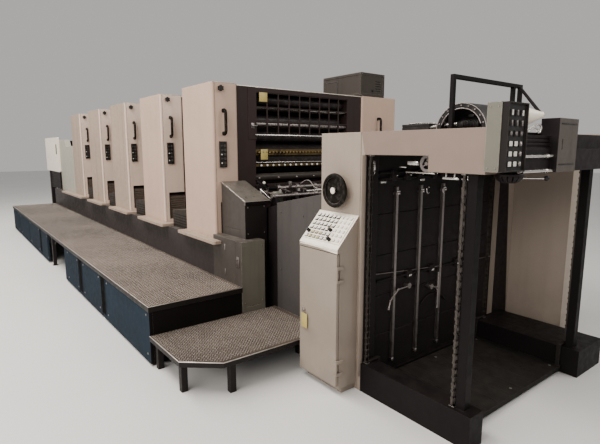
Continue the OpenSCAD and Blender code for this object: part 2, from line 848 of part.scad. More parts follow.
// Width of the control box, and the side of it where the end beam starts
box_w = 170;
box_y1 = y_rail - 13 + box_w;

// Control box on the end of the operator's beam, with six rows of buttons
module control_box() {
    box_z0 = beam_z_deep + 12;
    box_h = 303;
    box_x = x_end - 34;
    face = x_end - 10;
    inset = 2;
    rim = 6;
    y0 = box_y1 - box_w;
    z1 = box_z0 + box_h;
    rows = 6;
    color([0.5, 0.5, 0.46]) union() {
        block(x_beam_end, box_x, y0, box_y1, box_z0, z1);
        difference() {
            block(box_x - 1, x_end, y0 + inset, box_y1 - inset, box_z0 + inset, z1 - inset);
            block(face, x_end + 1, y0 + inset + rim, box_y1 - inset - rim, box_z0 + inset + rim,
                z1 - inset - rim);
        }
        for (r = [0 : rows - 1], c = [0 : 2])
            block(face - 1, face + 5, y0 + 24 + c * 44, y0 + 24 + c * 44 + 28,
                box_z0 + 24 + r * 44, box_z0 + 24 + r * 44 + 26);
    }
}

// Dark beam across the delivery end, its silver rails and the black box in the middle
module delivery_end_beam() {
    beam_h = 115;
    y0 = box_y1;
    y1 = mirror_y(y_rail);
    z0 = beam_z_deep;
    beam_x = x_beam_end + 60;
    case_y = y0 + 330;
    case_len = 210;
    case_h = 265;
    strips = 3;
    strip_pitch = 18;
    bracket = 14;
    rail_d = 16;
    rail_x = x_end - 28;
    color([0.12, 0.11, 0.12]) union() {
        block(x_beam_end, beam_x, y0, y1, z0, z0 + beam_h);
        difference() {
            block(x_beam_end, beam_x - 10, y0, case_y + 1, z0 + beam_h - 1,
                z0 + beam_h + strips * strip_pitch + 10);
            for (k = [0 : strips - 1])
                block(beam_x - 16, beam_x, y0 - 1, case_y, z0 + beam_h + 8 + k * strip_pitch,
                    z0 + beam_h + 16 + k * strip_pitch);
        }
        difference() {
            block(x_beam_end, x_end - 10, case_y, case_y + case_len, z0, z0 + case_h);
            block(x_end - 16, x_end - 9, case_y + 38, case_y + 50, z0 + 110, z0 + 165);
        }
        for (z = [z0 + 10, z0 + 80]) {
            bar_y(rail_x, z, y0, case_y + 1, rail_d);
            for (y = [y0 + 20, y0 + 200]) block(beam_x - 1, rail_x, y, y + bracket, z - rail_d / 2,
                z + rail_d / 2);
        }
        block(lever_x - 16, x_beam_end + 1, lever_y - 16, lever_y + 16, z0 + 10, z0 + 30);
        bar_z(lever_x, lever_y, lever_z + 8 + seat, z0 + 11, 28);
        translate([x_beam_end + 30, y0 - 5, z0]) slotted_bowl();
        bar_z(x_beam_end + 30, y0 - 5, z0 - 10, z0 + 10, 40);
    }
}

// Slotted bowl that hangs under the end beam
module slotted_bowl() {
    bowl_r = 65;
    deep = 44;
    slots = 16;
    difference() {
        rotate_extrude() polygon([
            [0, 0], [bowl_r, 0], [bowl_r * 0.96, -deep * 0.36], [bowl_r * 0.78, -deep * 0.72],
            [bowl_r * 0.46, -deep * 0.95], [0, -deep]
        ]);
        for (a = [1 : slots]) rotate([0, 0, a * 360 / slots])
            translate([bowl_r * 0.55, -3, -deep]) cube([bowl_r / 2, 6, deep * 0.75]);
    }
}

// Lever with a ball knob, on its pivot under the end beam
lever_x = x_beam_end - 40;
lever_y = y_rail_in + 240;
lever_z = beam_z_deep - 30;
lever_len = 140;
lever_turn = 41;

module sheet_lever() {
    color([0.7, 0.7, 0.7]) union() {
        bar_z(lever_x, lever_y, lever_z - 8, lever_z + 8, 28);
        translate([lever_x, lever_y, lever_z]) rotate([0, 0, lever_turn]) {
            rotate([0, 90, 0]) cylinder(h = lever_len, d = 9);
            translate([lever_len, 0, 0]) sphere(d = 26);
        }
    }
}

// Roller chain strand along Z: plates, bushes and pins
plate_w = 18;
plate_t = 3;
plate_play = 0.5;
pin_out = 1.5;
chain_in = 12;
chain_half = chain_in / 2 + 2 * plate_t + plate_play + pin_out;
module strand(links) {
    pin_d = 8;
    half = chain_in / 2;
    for (k = [0 : links - 1]) {
        out = (k % 2 == 0) ? half + plate_t + plate_play : half;
        for (s = [out, -out - plate_t])
            translate([0, s, k * chain_pitch]) rotate([-90, -90, 0]) linear_extrude(plate_t) {
                circle(d = plate_w);
                translate([0, -plate_w / 3]) square([chain_pitch, plate_w * 2 / 3]);
                translate([chain_pitch, 0]) circle(d = plate_w);
            }
    }
    for (k = [0 : links])
        bar_y(0, k * chain_pitch, -chain_half, chain_half, pin_d);
}

chain_y = y_rail + 32;
chain_x = [x_bay + 20, x_beam_end - 120];

module hoist_chains() {
    z0 = sill_h + plate_w / 2;
    color([0.3, 0.28, 0.26]) for (x = chain_x, y = [chain_y, mirror_bay(chain_y)]) {
        top = (x == chain_x[0] || y > bay_mid) ? beam_z_shallow : beam_z_deep;
        links = floor((top - z0 - plate_w / 2) / chain_pitch);
        translate([x, y, z0]) strand(links);
        block(x - 6, x + 6, y - chain_in / 2, y + chain_in / 2, z0 + links * chain_pitch, top);
        block(x - 14, x + 14, y - 12, y + 12, sill_h, z0 - 2);
    }
}

// Sills on the floor and the guide posts that stand at the delivery end
module delivery_base_frame() {
    post = 50;
    post_x = x_beam_end - 52;
    post_y = y_rail + 30;
    color([0.12, 0.12, 0.13]) union() {
        block(x_bay, x_beam_end, y_rail, y_rail_in, 0, sill_h);
        block(post_x - post, post_x, post_y, post_y + post, sill_h - 1, beam_z_deep);
        block(x_bay, x_beam_end, mirror_bay(y_rail_in), mirror_y(y_rail), 0, sill_h);
        block(post_x - post, post_x, mirror_bay(post_y + post), mirror_bay(post_y), sill_h - 1,
            beam_z_shallow);
        block(core_face, x_bay + 1, y_rail_in, mirror_y(y_rail_in), 0, 60);
    }
}

// Upright stops behind the pile
module backstop_rods() {
    rod = 20;
    rod_pitch = 240;
    rod_over = 96;
    rod_top = board_z + board_t + pile_travel + rod_over;
    clip = 12;
    color([0.6, 0.6, 0.62]) {
        for (k = [0 : 3]) {
            y = bay_mid + (k - 1.5) * rod_pitch;
            block(core_face, core_face + rod, y - rod / 2, y + rod / 2, 100, rod_top);
            block(core_face, core_face + rod + clip / 2, y - rod, y + rod, rod_top - 4 * clip,
                rod_top - 3 * clip);
        }
        stop_arm([[y_mid - 350, 590], [y_mid - 462, 585], [y_mid - 533, 524], [y_mid - 550, 471]]);
        stop_arm([[y_mid - 110, 540], [y_mid - 43, 520], [y_mid - 43, 627]]);
        stop_arm([[y_mid - 43, 520], [y_mid - 43, 376]]);
    }
}

// Setting arm of a stop: a boss on the core's face and a bent rod from point to point
module stop_arm(points) {
    arm_d = 12;
    knuckle_d = 17;
    x = core_face + 36;
    bar_x(points[0].x, points[0].y, core_face, x, 36);
    for (k = [0 : len(points) - 2]) {
        strut([x, points[k].x, points[k].y], [x, points[k + 1].x, points[k + 1].y], arm_d);
        translate([x, points[k + 1].x, points[k + 1].y]) sphere(d = knuckle_d);
    }
}

// Pile board with its four carrier arms
module pile_board() {
    x0 = x_bay + 2 * clear;
    x1 = x_beam_end - 100;
    y0 = y_rail_in + clear;
    arm_w = 24;
    arm_t = 16;
    arm_h = 10;
    arm_z = sill_h + plate_w / 2 + arm_h - 2;
    reach = chain_y + chain_half + seat;
    color([0.16, 0.16, 0.17]) union() {
        block(x0, x1, y0, mirror_bay(y0), board_z, board_z + board_t);
        for (x = chain_x) {
            ax = max(x - arm_w / 2, x0);
            block(ax, ax + arm_w, y0, y0 + arm_t, board_z, arm_z);
            block(ax, ax + arm_w, reach, y0 + arm_t, arm_z - arm_h, arm_z);
            block(ax, ax + arm_w, mirror_bay(y0 + arm_t), mirror_bay(y0), board_z, arm_z);
            block(ax, ax + arm_w, mirror_bay(y0 + arm_t), mirror_bay(reach), arm_z - arm_h, arm_z);
        }
    }
}

// Square tube frame over the delivery, with a brace
module overhead_frame() {
    post = 20;
    x = x_beam_end - 240;
    y0 = y_rail + 50;
    span = 556;
    twin = 75;
    z1 = delivery_top + 258;
    shade_at = [x_beam_end - 5, y_rail_in + 189, delivery_top + 57];
    shade_way = [0.61, 0.79, 0.1];
    shade_r = 50;
    shade_len = 90;
    color([0.15, 0.14, 0.15]) union() {
        block(x, x + post, y0, y0 + post, delivery_top, z1);
        for (y = [y0 + span, y0 + span + twin]) block(x, x + post, y, y + post, core_top, z1);
        block(x, x + post, y0, y0 + span + twin + post, z1 - post, z1);
        strut([x + post / 2, y0 + span + twin, z1 - post / 2], shade_at + shade_len * shade_way, 16);
        translate(shade_at) rotate([0, acos(shade_way.z / norm(shade_way)), atan2(shade_way.y,
            shade_way.x)])
            rotate_extrude() polygon([
                [shade_r, 0], [14, shade_len], [14, shade_len + 6], [0, shade_len + 6],
                [0, shade_len - 6], [11, shade_len - 6], [shade_r - 3, 0]
            ]);
    }
}

// Half-round cowl and a low box on top of the delivery
module blower_cowl() {
    cowl_d = 290;
    band = 26;
    band_w = 250;
    motor_d = 70;
    motor_len = 100;
    box_len = 180;
    box_h = 52;
    cx = x_beam_end - 230;
    y0 = y_rail_in + 20;
    motor_y = y0 + 70;
    motor_z = core_top + 42;
    color([0.08, 0.08, 0.08]) {
        difference() {
            bar_y(cx, core_top, y0, y0 + band_w, cowl_d);
            bar_y(cx, core_top, y0 - 1, y0 + band_w + 1, cowl_d - 2 * band);
            block(cx - cowl_d, cx + cowl_d, y0 - 2, y0 + band_w + 2, 0, core_top);
        }
        bar_x(motor_y, motor_z, cx - motor_len / 4, cx + motor_len * 3 / 4, motor_d);
        bar_x(motor_y, motor_z, cx - motor_len / 2, cx - motor_len / 4 + 1, motor_d * 0.7);
        block(cx - motor_len / 5, cx + motor_len * 0.6, motor_y - motor_d * 0.4,
            motor_y + motor_d * 0.4, core_top, motor_z);
        difference() {
            block(x_bay + 150, x_bay + 150 + box_len, y0, y0 + box_len, core_top, core_top + box_h);
            block(x_bay + 149, x_bay + 151 + box_len, y0 - 1, y0 + seam_d, core_top + box_h - 16,
                core_top + box_h - 12);
        }
    }
}

// Feeder: posts, top rails and the dark guards low on its sides
feeder_y = y_cover + 30;
feeder_x0 = x_start + 10;
feeder_x1 = feeder_x0 + feeder_bay;
feeder_post = 90;
feeder_in = 30;
module feeder_frame() {
    post = feeder_post;
    x_posts = [feeder_x0 + feeder_in, feeder_x1 - post];
    rail_z1 = feeder_top - 60;
    guard_x = feeder_x0 + 400;
    guard_z = bed_h + 15;
    slots = 8;
    slot_pitch = 34;
    color([0.2, 0.19, 0.2]) union() {
        both_sides() {
            for (x = x_posts) block(x, x + post, feeder_y, feeder_y + post, 0, rail_z1);
            block(x_posts[0], x_posts[1] + post, feeder_y, feeder_y + post, rail_z1 - post, rail_z1);
            difference() {
                block(guard_x, feeder_x1, y_cover, feeder_y + 1, guard_z, feeder_low - 10);
                for (k = [0 : slots - 1])
                    block(guard_x + 30, feeder_x1 - 30, y_cover - 1, y_cover + 12,
                        guard_z + 20 + k * slot_pitch, guard_z + 20 + (k + 0.55) * slot_pitch);
            }
        }
        for (x = x_posts)
            block(x, x + post, feeder_y + post - 1, mirror_y(feeder_y) - post + 1, rail_z1 - post, rail_z1);
    }
}

// White side panels of the feeder
module feeder_side_panels() {
    t = 30;
    corner_r = 25;
    color([0.85, 0.83, 0.78]) both_sides()
        profile_y(feeder_y - t, feeder_y) translate([x_start, feeder_low])
            round_rect(feeder_x1 - x_start, feeder_top - feeder_low, corner_r);
}

// Suction head over the feeder pile
module feeder_head() {
    x0 = feeder_x0 + 330;
    head_len = 380;
    head_w = 600;
    z0 = feeder_top - 290;
    z1 = feeder_top - 100;
    bar_d = 40;
    color([0.3, 0.29, 0.3]) union() {
        profile_y(y_mid - head_w / 2, y_mid + head_w / 2) polygon([
            [x0, z0 + 70], [x0 + 70, z0], [x0 + head_len, z0], [x0 + head_len, z0 + 100],
            [x0 + head_len - 110, z1], [x0, z1]
        ]);
        for (y = [y_mid - head_w / 2 + bar_d, y_mid + head_w / 2 - bar_d])
            bar_x(y, z1 - 5, feeder_x0 + feeder_in + feeder_post, feeder_x1 - feeder_post, bar_d);
        for (k = [-2 : 2]) {
            y = y_mid + k * head_w * 0.18;
            bar_z(x0 + head_len - 50, y, z0 - 58, z0 + 1, 24);
            bar_z(x0 + head_len - 50, y, z0 - 70, z0 - 57, 44);
        }
    }
}

// Feeder pile board on its two lifting beams
module feeder_pile_board() {
    beam = 80;
    y0 = feeder_y + 30;
    x0 = feeder_x0 + feeder_in + feeder_post + seat;
    x1 = feeder_x1 - feeder_post - seat;
    color([0.4, 0.33, 0.25]) union() {
        block(x0, x1, y0 + 80, mirror_y(y0 + 80), 160, 210);
        for (x = [x0, x1 - beam]) {
            block(x, x + beam, y0, mirror_y(y0), 90, 161);
            block(x, x + beam, y0 + 160, mirror_y(y0 + 160), 0, 91);
        }
    }
}

// Register section between the feeder and the first unit
module infeed_cover() {
    side_t = 90;
    slope_len = 100;
    back_top = feeder_top - 50;
    feed_z = [1320, 1180];
    tapes = 5;
    tape_w = 60;
    tape_t = 4;
    wheel_d = 70;
    shaft_d = 20;
    y0 = feeder_y + side_t;
    y1 = mirror_y(y0);
    function feed_at(x) = feed_z[0] + (feed_z[1] - feed_z[0]) * (x - feeder_x1) / (infeed_x1 - feeder_x1);
    color([0.72, 0.69, 0.63]) both_sides() profile_y(feeder_y, y0) polygon([
        [feeder_x1, 0], [infeed_x1, 0], [infeed_x1, infeed_top], [infeed_x1 - infeed_len, infeed_top],
        [infeed_x1 - infeed_len - slope_len, back_top], [feeder_x1, back_top]
    ]);
    color([0.72, 0.69, 0.63])
        cover(infeed_x1 - infeed_len, infeed_x1, y_cover, feeder_y + cover_r + 1, z_cover, infeed_top);
    color([0.3, 0.29, 0.3]) {
        profile_y(y0, y1) polygon([[feeder_x1, 0], [infeed_x1, 0], [infeed_x1, feed_z[1]], [feeder_x1,
            feed_z[0]]]);
        for (k = [1 : tapes]) {
            y = y0 + k * (y1 - y0) / (tapes + 1);
            profile_y(y - tape_w / 2, y + tape_w / 2) polygon([
                [feeder_x1, feed_z[0] - 1], [infeed_x1, feed_z[1] - 1],
                [infeed_x1, feed_z[1] + tape_t], [feeder_x1, feed_z[0] + tape_t]
            ]);
            for (x = [feeder_x1 + 300, infeed_x1 - 300])
                bar_y(x, feed_at(x) + wheel_d / 2 + 2 * tape_t, y - tape_w / 4, y + tape_w / 4, wheel_d);
        }
        for (x = [feeder_x1 + 300, infeed_x1 - 300])
            bar_y(x, feed_at(x) + wheel_d / 2 + 2 * tape_t, y0 - 1, y1 + 1, shaft_d);
    }
}

press_bed();
walkway_deck();
walkway_panels();
walkway_frame();
entry_step();
footplates();
unit_covers(0);  // unit_1_covers
unit_covers(1);  // unit_2_covers
unit_covers(2);  // unit_3_covers
unit_covers(3);  // unit_4_covers
unit_covers(4);  // unit_5_covers
unit_body(0);  // unit_1_body
unit_body(1);  // unit_2_body
unit_body(2);  // unit_3_body
unit_body(3);  // unit_4_body
unit_body(4);  // unit_5_body
transfer_guards();
roller_train();
ink_key_rows();
roller_guards();
grab_handles();
unit_controls();
motor_box();
end_cabinet();
sloped_cover();
chain_housing();
chain_side_panels();
gripper_linkage();
console_cabinet();
console_panel();
console_door();
delivery_operator_frame();
delivery_drive_frame();
delivery_core();
handwheel();
control_box();
delivery_end_beam();
sheet_lever();
hoist_chains();
delivery_base_frame();
backstop_rods();
pile_board();
overhead_frame();
blower_cowl();
feeder_frame();
feeder_side_panels();
feeder_head();
feeder_pile_board();
infeed_cover();
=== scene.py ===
import math

import bpy
from mathutils import Matrix, Vector


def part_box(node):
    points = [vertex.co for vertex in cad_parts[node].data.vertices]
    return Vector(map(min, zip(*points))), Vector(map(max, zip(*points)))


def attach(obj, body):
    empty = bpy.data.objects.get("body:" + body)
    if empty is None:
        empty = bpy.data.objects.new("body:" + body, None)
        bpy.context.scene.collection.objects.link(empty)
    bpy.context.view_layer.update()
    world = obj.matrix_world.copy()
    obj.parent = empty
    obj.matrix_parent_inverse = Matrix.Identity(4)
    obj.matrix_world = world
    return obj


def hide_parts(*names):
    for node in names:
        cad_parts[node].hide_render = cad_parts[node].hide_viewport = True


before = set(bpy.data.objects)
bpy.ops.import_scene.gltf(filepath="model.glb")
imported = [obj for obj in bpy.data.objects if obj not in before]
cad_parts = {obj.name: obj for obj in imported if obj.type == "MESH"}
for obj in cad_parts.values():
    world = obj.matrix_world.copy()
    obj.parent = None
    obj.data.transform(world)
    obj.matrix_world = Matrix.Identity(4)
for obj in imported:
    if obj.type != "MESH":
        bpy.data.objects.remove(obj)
bpy.ops.object.select_all(action="DESELECT")
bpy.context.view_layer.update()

# ---- finishes ----


class Finish:
    """A material built up from noise, laid over one base colour."""

    def __init__(self, name, rough, metal=0.0, shine=0.5):
        self.material = bpy.data.materials.new(name)
        self.material.use_nodes = True
        self.tree = self.material.node_tree
        self.shader = self.tree.nodes["Principled BSDF"]
        self.shader.inputs["Metallic"].default_value = metal
        self.shader.inputs["Roughness"].default_value = rough
        self.shader.inputs["Specular IOR Level"].default_value = shine
        self.place = self.node("TexCoord").outputs["Object"]
        self.normal = self.node("NewGeometry").outputs["Normal"]
        self.height = None

    def feed(self, socket, value):
        """Sets a socket to a number or colour, or links an output to it."""
        if isinstance(value, bpy.types.NodeSocket):
            self.tree.links.new(value, socket)
        elif isinstance(value, tuple) and len(value) == 3 and len(socket.default_value) == 4:
            socket.default_value = (*value, 1.0)
        else:
            socket.default_value = value

    def node(self, kind, **inputs):
        """A new node, with some of its named sockets set or linked."""
        made = self.tree.nodes.new("ShaderNode" + kind)
        for name, value in inputs.items():
            self.feed(made.inputs[name.replace("_", " ")], value)
        return made

    def times(self, a, b):
        """One factor times another."""
        made = self.node("Math")
        made.operation = "MULTIPLY"
        self.feed(made.inputs[0], a)
        self.feed(made.inputs[1], b)
        return made.outputs[0]

    def noise(self, scale, stretch=(1, 1, 1), detail=3.0, rough=0.55):
        """Cloudy noise over the piece, stretched along the axes."""
        place = self.node("Mapping", Vector=self.place, Scale=stretch).outputs["Vector"]
        made = self.node("TexNoise", Vector=place, Scale=scale, Detail=detail, Roughness=rough)
        return made.outputs["Fac"]

    def ramp(self, factor, low, high, start=0.0, end=1.0):
        """Spreads the part of a factor from low to high over start to end."""
        made = self.node("MapRange", Value=factor, From_Min=low, From_Max=high, To_Min=start, To_Max=end)
        return made.outputs["Result"]

    def mix(self, factor, a, b):
        """A colour between two colours."""
        made = self.node("Mix")
        made.data_type = "RGBA"
        self.feed(made.inputs["Factor"], factor)
        self.feed(made.inputs[6], a)
        self.feed(made.inputs[7], b)
        return made.outputs[2]

    def over(self, tone, colour, factor, share):
        """Lays a colour over the tone where a factor is high."""
        return self.mix(self.times(factor, share), tone, colour)

    def upward(self, vector):
        """The height of a place, or how far a face looks up."""
        return self.node("SeparateXYZ", Vector=vector).outputs["Z"]

    def edges(self, radius):
        """1 at an edge of the shape and 0 on its flats."""
        rounded = self.node("Bevel", Radius=radius)
        rounded.samples = 4
        dot = self.node("VectorMath")
        dot.operation = "DOT_PRODUCT"
        self.feed(dot.inputs[0], rounded.outputs[0])
        self.feed(dot.inputs[1], self.normal)
        self.height = self.height or rounded.outputs[0]
        return self.ramp(dot.outputs["Value"], 0.995, 0.86)

    def raise_by(self, factor, distance):
        """Adds a bump of so many metres on top of those already there."""
        made = self.node("Bump", Distance=distance, Height=factor)
        if self.height:
            self.feed(made.inputs["Normal"], self.height)
        self.height = made.outputs["Normal"]

    def done(self, colour, rough=None):
        """The finished material."""
        self.feed(self.shader.inputs["Base Color"], colour)
        if rough is not None:
            self.feed(self.shader.inputs["Roughness"], rough)
        if self.height:
            self.feed(self.shader.inputs["Normal"], self.height)
        return self.material


# how high grime reaches up from the floor, and colours of dust and of steel that feet keep bright
GRIME_TOP = 0.55
DUST = (0.3, 0.26, 0.22)
FINE_DUST = (0.2, 0.18, 0.16)
TRODDEN_STEEL = (0.75, 0.72, 0.68)


def shade(colour, factor):
    """The colour made darker or lighter."""
    return tuple(min(1.0, c * factor) for c in colour)


def paint(name, colour, worn, dirt, rough=0.42, streaks=0.35, shine=0.4, wear=0.7, dusty=0.25):
    """Sprayed enamel: patches, runs of dirt, orange peel and rubbed edges."""
    f = Finish(name, rough, shine=shine)
    patches = f.ramp(f.noise(1.7, detail=4.0), 0.38, 0.68)
    tone = f.mix(patches, colour, shade(colour, 0.9))
    cloud = f.ramp(f.noise(7.0, detail=5.0), 0.35, 0.75)
    tone = f.over(tone, shade(colour, 1.09), cloud, 0.45)
    runs = f.ramp(f.noise(1.0, (16, 16, 0.8), detail=4.0), 0.52, 0.8)
    tone = f.over(tone, dirt, runs, streaks)
    low = f.ramp(f.upward(f.place), GRIME_TOP, 0.0)
    grime = f.times(low, f.ramp(f.noise(5.0, detail=5.0), 0.35, 0.7))
    tone = f.over(tone, dirt, grime, 0.4)
    dust = f.times(f.ramp(f.upward(f.normal), 0.75, 1.0), f.ramp(f.noise(14.0), 0.3, 0.7))
    tone = f.over(tone, DUST, dust, dusty)
    rub = f.times(f.edges(0.005), f.ramp(f.noise(38.0, detail=5.0), 0.36, 0.6))
    tone = f.over(tone, worn, rub, wear)
    scratch = f.ramp(f.noise(1.0, (260, 7, 260), detail=2.0), 0.72, 0.8)
    tone = f.over(tone, worn, scratch, 0.22)
    f.raise_by(f.noise(520.0, detail=2.0), 0.00018)
    f.raise_by(f.noise(3.0, detail=2.0), 0.0012)
    gloss = f.ramp(f.noise(22.0, detail=4.0), 0.3, 0.7, rough - 0.07, rough + 0.12)
    return f.done(tone, gloss)


def steel(name, colour, rough=0.3, grain=(4, 4, 260), stain=(0.16, 0.13, 0.1), stains=0.35):
    """Bare metal with a fine grain, stains and oil."""
    f = Finish(name, rough, metal=1.0)
    lines = f.noise(1.0, grain, detail=4.0)
    tone = f.mix(f.ramp(lines, 0.3, 0.7), shade(colour, 0.82), colour)
    blots = f.ramp(f.noise(12.0, detail=5.0), 0.5, 0.72)
    tone = f.over(tone, stain, blots, stains)
    f.raise_by(lines, 0.0002)
    gloss = f.ramp(f.noise(30.0, detail=4.0), 0.3, 0.7, rough - 0.08, rough + 0.16)
    return f.done(tone, gloss)


def moulded(name, colour, rough=0.5, speck=0.5, shine=0.5):
    """Moulded plastic or rubber: fine grain, dust and a little shine."""
    f = Finish(name, rough, shine=shine)
    tone = f.mix(f.ramp(f.noise(6.0, detail=4.0), 0.35, 0.7), colour, shade(colour, 0.72))
    dust = f.ramp(f.noise(42.0, detail=5.0), 0.5, 0.75)
    tone = f.over(tone, FINE_DUST, dust, speck * 0.35)
    rub = f.times(f.edges(0.0025), f.ramp(f.noise(50.0), 0.4, 0.6))
    tone = f.over(tone, shade(colour, 2.2), rub, 0.3)
    f.raise_by(f.noise(700.0, detail=2.0), 0.00012)
    gloss = f.ramp(f.noise(18.0, detail=4.0), 0.3, 0.7, rough - 0.1, rough + 0.1)
    return f.done(tone, gloss)


def tread_plate(name, colour, bright, dirt, rough=0.42):
    """Rolled plate trodden dull, with dirt between and shine where feet go."""
    f = Finish(name, rough, metal=0.15, shine=0.15)
    trodden = f.ramp(f.noise(0.9, detail=5.0), 0.36, 0.66)
    tone = f.mix(trodden, colour, bright)
    fine = f.ramp(f.noise(75.0, detail=4.0), 0.35, 0.7)
    tone = f.over(tone, dirt, fine, 0.5)
    smears = f.ramp(f.noise(1.0, (3, 16, 3), detail=5.0), 0.52, 0.76)
    tone = f.over(tone, dirt, smears, 0.45)
    rub = f.ramp(f.noise(60.0), 0.35, 0.6, 0.3, 1.0)
    tone = f.over(tone, TRODDEN_STEEL, f.edges(0.003), rub)
    f.raise_by(f.noise(160.0, detail=4.0), 0.0006)
    gloss = f.ramp(f.noise(9.0, detail=5.0), 0.3, 0.7, rough - 0.12, rough + 0.2)
    return f.done(tone, gloss)


def board(name, light, dark):
    """Rough sawn board with grain along X."""
    f = Finish(name, 0.75)
    grain = f.noise(1.0, (2.5, 60, 60), detail=6.0)
    tone = f.mix(f.ramp(grain, 0.3, 0.72), dark, light)
    tone = f.over(tone, shade(dark, 0.7), f.ramp(f.noise(4.0), 0.45, 0.7), 0.4)
    f.raise_by(grain, 0.0015)
    return f.done(tone, f.ramp(grain, 0.3, 0.7, 0.6, 0.9))


GRIME = (0.05, 0.036, 0.028)
OIL = (0.010, 0.008, 0.008)
SMOKE = (0.03, 0.025, 0.02)
BARE_CREAM = (0.26, 0.2, 0.16)
BARE_BEIGE = (0.2, 0.16, 0.13)
BARE_GREY = (0.2, 0.17, 0.15)
BARE_DARK = (0.14, 0.12, 0.1)

# enamels of the covers, the delivery and the feeder
cream = paint("cream enamel", (0.47, 0.335, 0.262), BARE_CREAM, GRIME, streaks=0.08)
# a darker copy of the cream enamel: painted shade on the near sides of the first three units and on the
# footplates
cream_painted_shade = paint("cream enamel with painted shade", (0.345, 0.262, 0.205), BARE_CREAM, GRIME, streaks=0.3)
# a lighter copy of the cream enamel: painted light on the end faces of the first four units
cream_painted_light = paint("cream enamel with painted light", (0.64, 0.505, 0.418), BARE_CREAM, GRIME, streaks=0.08)
beige = paint("delivery enamel", (0.292, 0.240, 0.196), BARE_BEIGE, GRIME, streaks=0.08)
# a darker copy of the delivery enamel: painted shade on the console cabinet and its door
console_painted_shade = paint("console enamel with painted shade", (0.262, 0.219, 0.180), BARE_BEIGE, GRIME, streaks=0.08)
# a darker copy of the delivery enamel: painted shade on the beam of the operator's side frame
beam_painted_shade = paint("beam enamel with painted shade", (0.200, 0.150, 0.121), BARE_BEIGE, GRIME, streaks=0.05)
celadon = paint("infeed enamel", (0.36, 0.35, 0.29), BARE_CREAM, GRIME, streaks=0.1)
ivory = paint("ivory enamel", (0.86, 0.80, 0.68), (0.36, 0.3, 0.24), GRIME, 0.4, 0.2)

# dark enamels
dark = paint(
    "plum black enamel", (0.0125, 0.0095, 0.0102), (0.09, 0.075, 0.065), OIL,
    rough=0.45, streaks=0.25, shine=0.12, wear=0.35, dusty=0.05,
)
unit_dark = paint(
    "unit body enamel", (0.028, 0.0185, 0.0175), (0.1, 0.08, 0.07), OIL,
    rough=0.45, streaks=0.25, shine=0.15, wear=0.35, dusty=0.08,
)
pile_black = paint(
    "pile board enamel", (0.0150, 0.0135, 0.0122), (0.09, 0.08, 0.07), OIL,
    rough=0.6, streaks=0.3, shine=0.08, wear=0.5, dusty=0.03,
)
soot = paint(
    "soot enamel", (0.0055, 0.0042, 0.0045), (0.05, 0.04, 0.035), OIL,
    rough=0.5, streaks=0.1, shine=0.1, wear=0.25, dusty=0.02,
)
slate = paint(
    "slate blue enamel", (0.018, 0.028, 0.040), (0.07, 0.07, 0.07), (0.012, 0.010, 0.009),
    rough=0.7, streaks=0.2, shine=0.02, wear=0.4,
)
plinth = paint("plinth enamel", (0.030, 0.025, 0.024), BARE_DARK, (0.012, 0.01, 0.009), 0.5, shine=0.25)
case_grey = paint("button case enamel", (0.011, 0.009, 0.0085), (0.08, 0.065, 0.06), OIL, 0.5, shine=0.15)
umber = paint("umber enamel", (0.048, 0.039, 0.034), BARE_GREY, SMOKE, 0.5)
guard_brown = paint("guard enamel", (0.019, 0.0142, 0.0108), BARE_GREY, OIL, 0.5, shine=0.25)
louvre = paint("louvre enamel", (0.085, 0.064, 0.049), (0.3, 0.25, 0.2), SMOKE, 0.5)

# grey and green enamels
cabinet = paint("end cabinet enamel", (0.05, 0.043, 0.038), BARE_DARK, OIL, 0.45, 0.3, 0.25)
case_end = paint("case end enamel", (0.082, 0.070, 0.062), BARE_GREY, OIL, 0.5, shine=0.2)
grey = paint("motor grey enamel", (0.037, 0.030, 0.025), BARE_GREY, OIL, 0.45, shine=0.25)
side_grey = paint("side panel enamel", (0.058, 0.053, 0.051), BARE_GREY, OIL, 0.45, shine=0.25)
moss = paint("grey green enamel", (0.130, 0.125, 0.100), (0.45, 0.42, 0.36), GRIME, 0.42)
olive = paint("oily cover enamel", (0.088, 0.08, 0.068), (0.36, 0.32, 0.27), OIL, 0.32, 0.5)

# bare metals and tread plate
steel_bright = steel("polished steel", (0.72, 0.69, 0.66), 0.2, stains=0.2)
steel_dull = steel("dull steel", (0.30, 0.27, 0.26), 0.38)
rim_steel = steel("trodden rim", (0.62, 0.57, 0.52), 0.35, (20, 20, 20), (0.2, 0.17, 0.14), 0.6)
chain = steel("oiled chain steel", (0.10, 0.088, 0.08), 0.42, (90, 90, 90), OIL, 0.4)
old_brass = steel("worn key brass", (0.34, 0.26, 0.14), 0.42, stain=(0.05, 0.035, 0.02), stains=0.6)
brass = steel("ink key brass", (0.19, 0.135, 0.06), 0.45, stain=(0.025, 0.018, 0.01), stains=0.7)
tread = tread_plate(
    "tread plate", (0.038, 0.028, 0.022), (0.118, 0.091, 0.073), (0.02, 0.016, 0.013), 0.62
)
tread_top = tread_plate(
    "trodden bars", (0.092, 0.070, 0.056), (0.30, 0.242, 0.20), (0.04, 0.032, 0.026), 0.52
)

# plastics, rubber and wood
slot_black = moulded("unlit gap", (0.002, 0.002, 0.002), 0.8, 0.1, 0.02)
black = moulded("black plastic", (0.008, 0.007, 0.007), 0.45, 0.4, 0.3)
wheel_black = moulded("handwheel plastic", (0.0065, 0.0052, 0.0038), 0.6, 0.5, 0.1)
rubber = moulded("inked rubber", (0.026, 0.021, 0.022), 0.42, 0.6, 0.25)
yellow = moulded("yellow plate", (0.47, 0.38, 0.12), 0.45, 0.5)
white = moulded("white button", (0.78, 0.76, 0.7), 0.4, 0.2)
tan = moulded("tan button", (0.42, 0.29, 0.19), 0.45, 0.3)
bronze = moulded("dark button", (0.035, 0.027, 0.023), 0.45, 0.6)
wood = board("stained board", (0.26, 0.17, 0.09), (0.09, 0.05, 0.025))

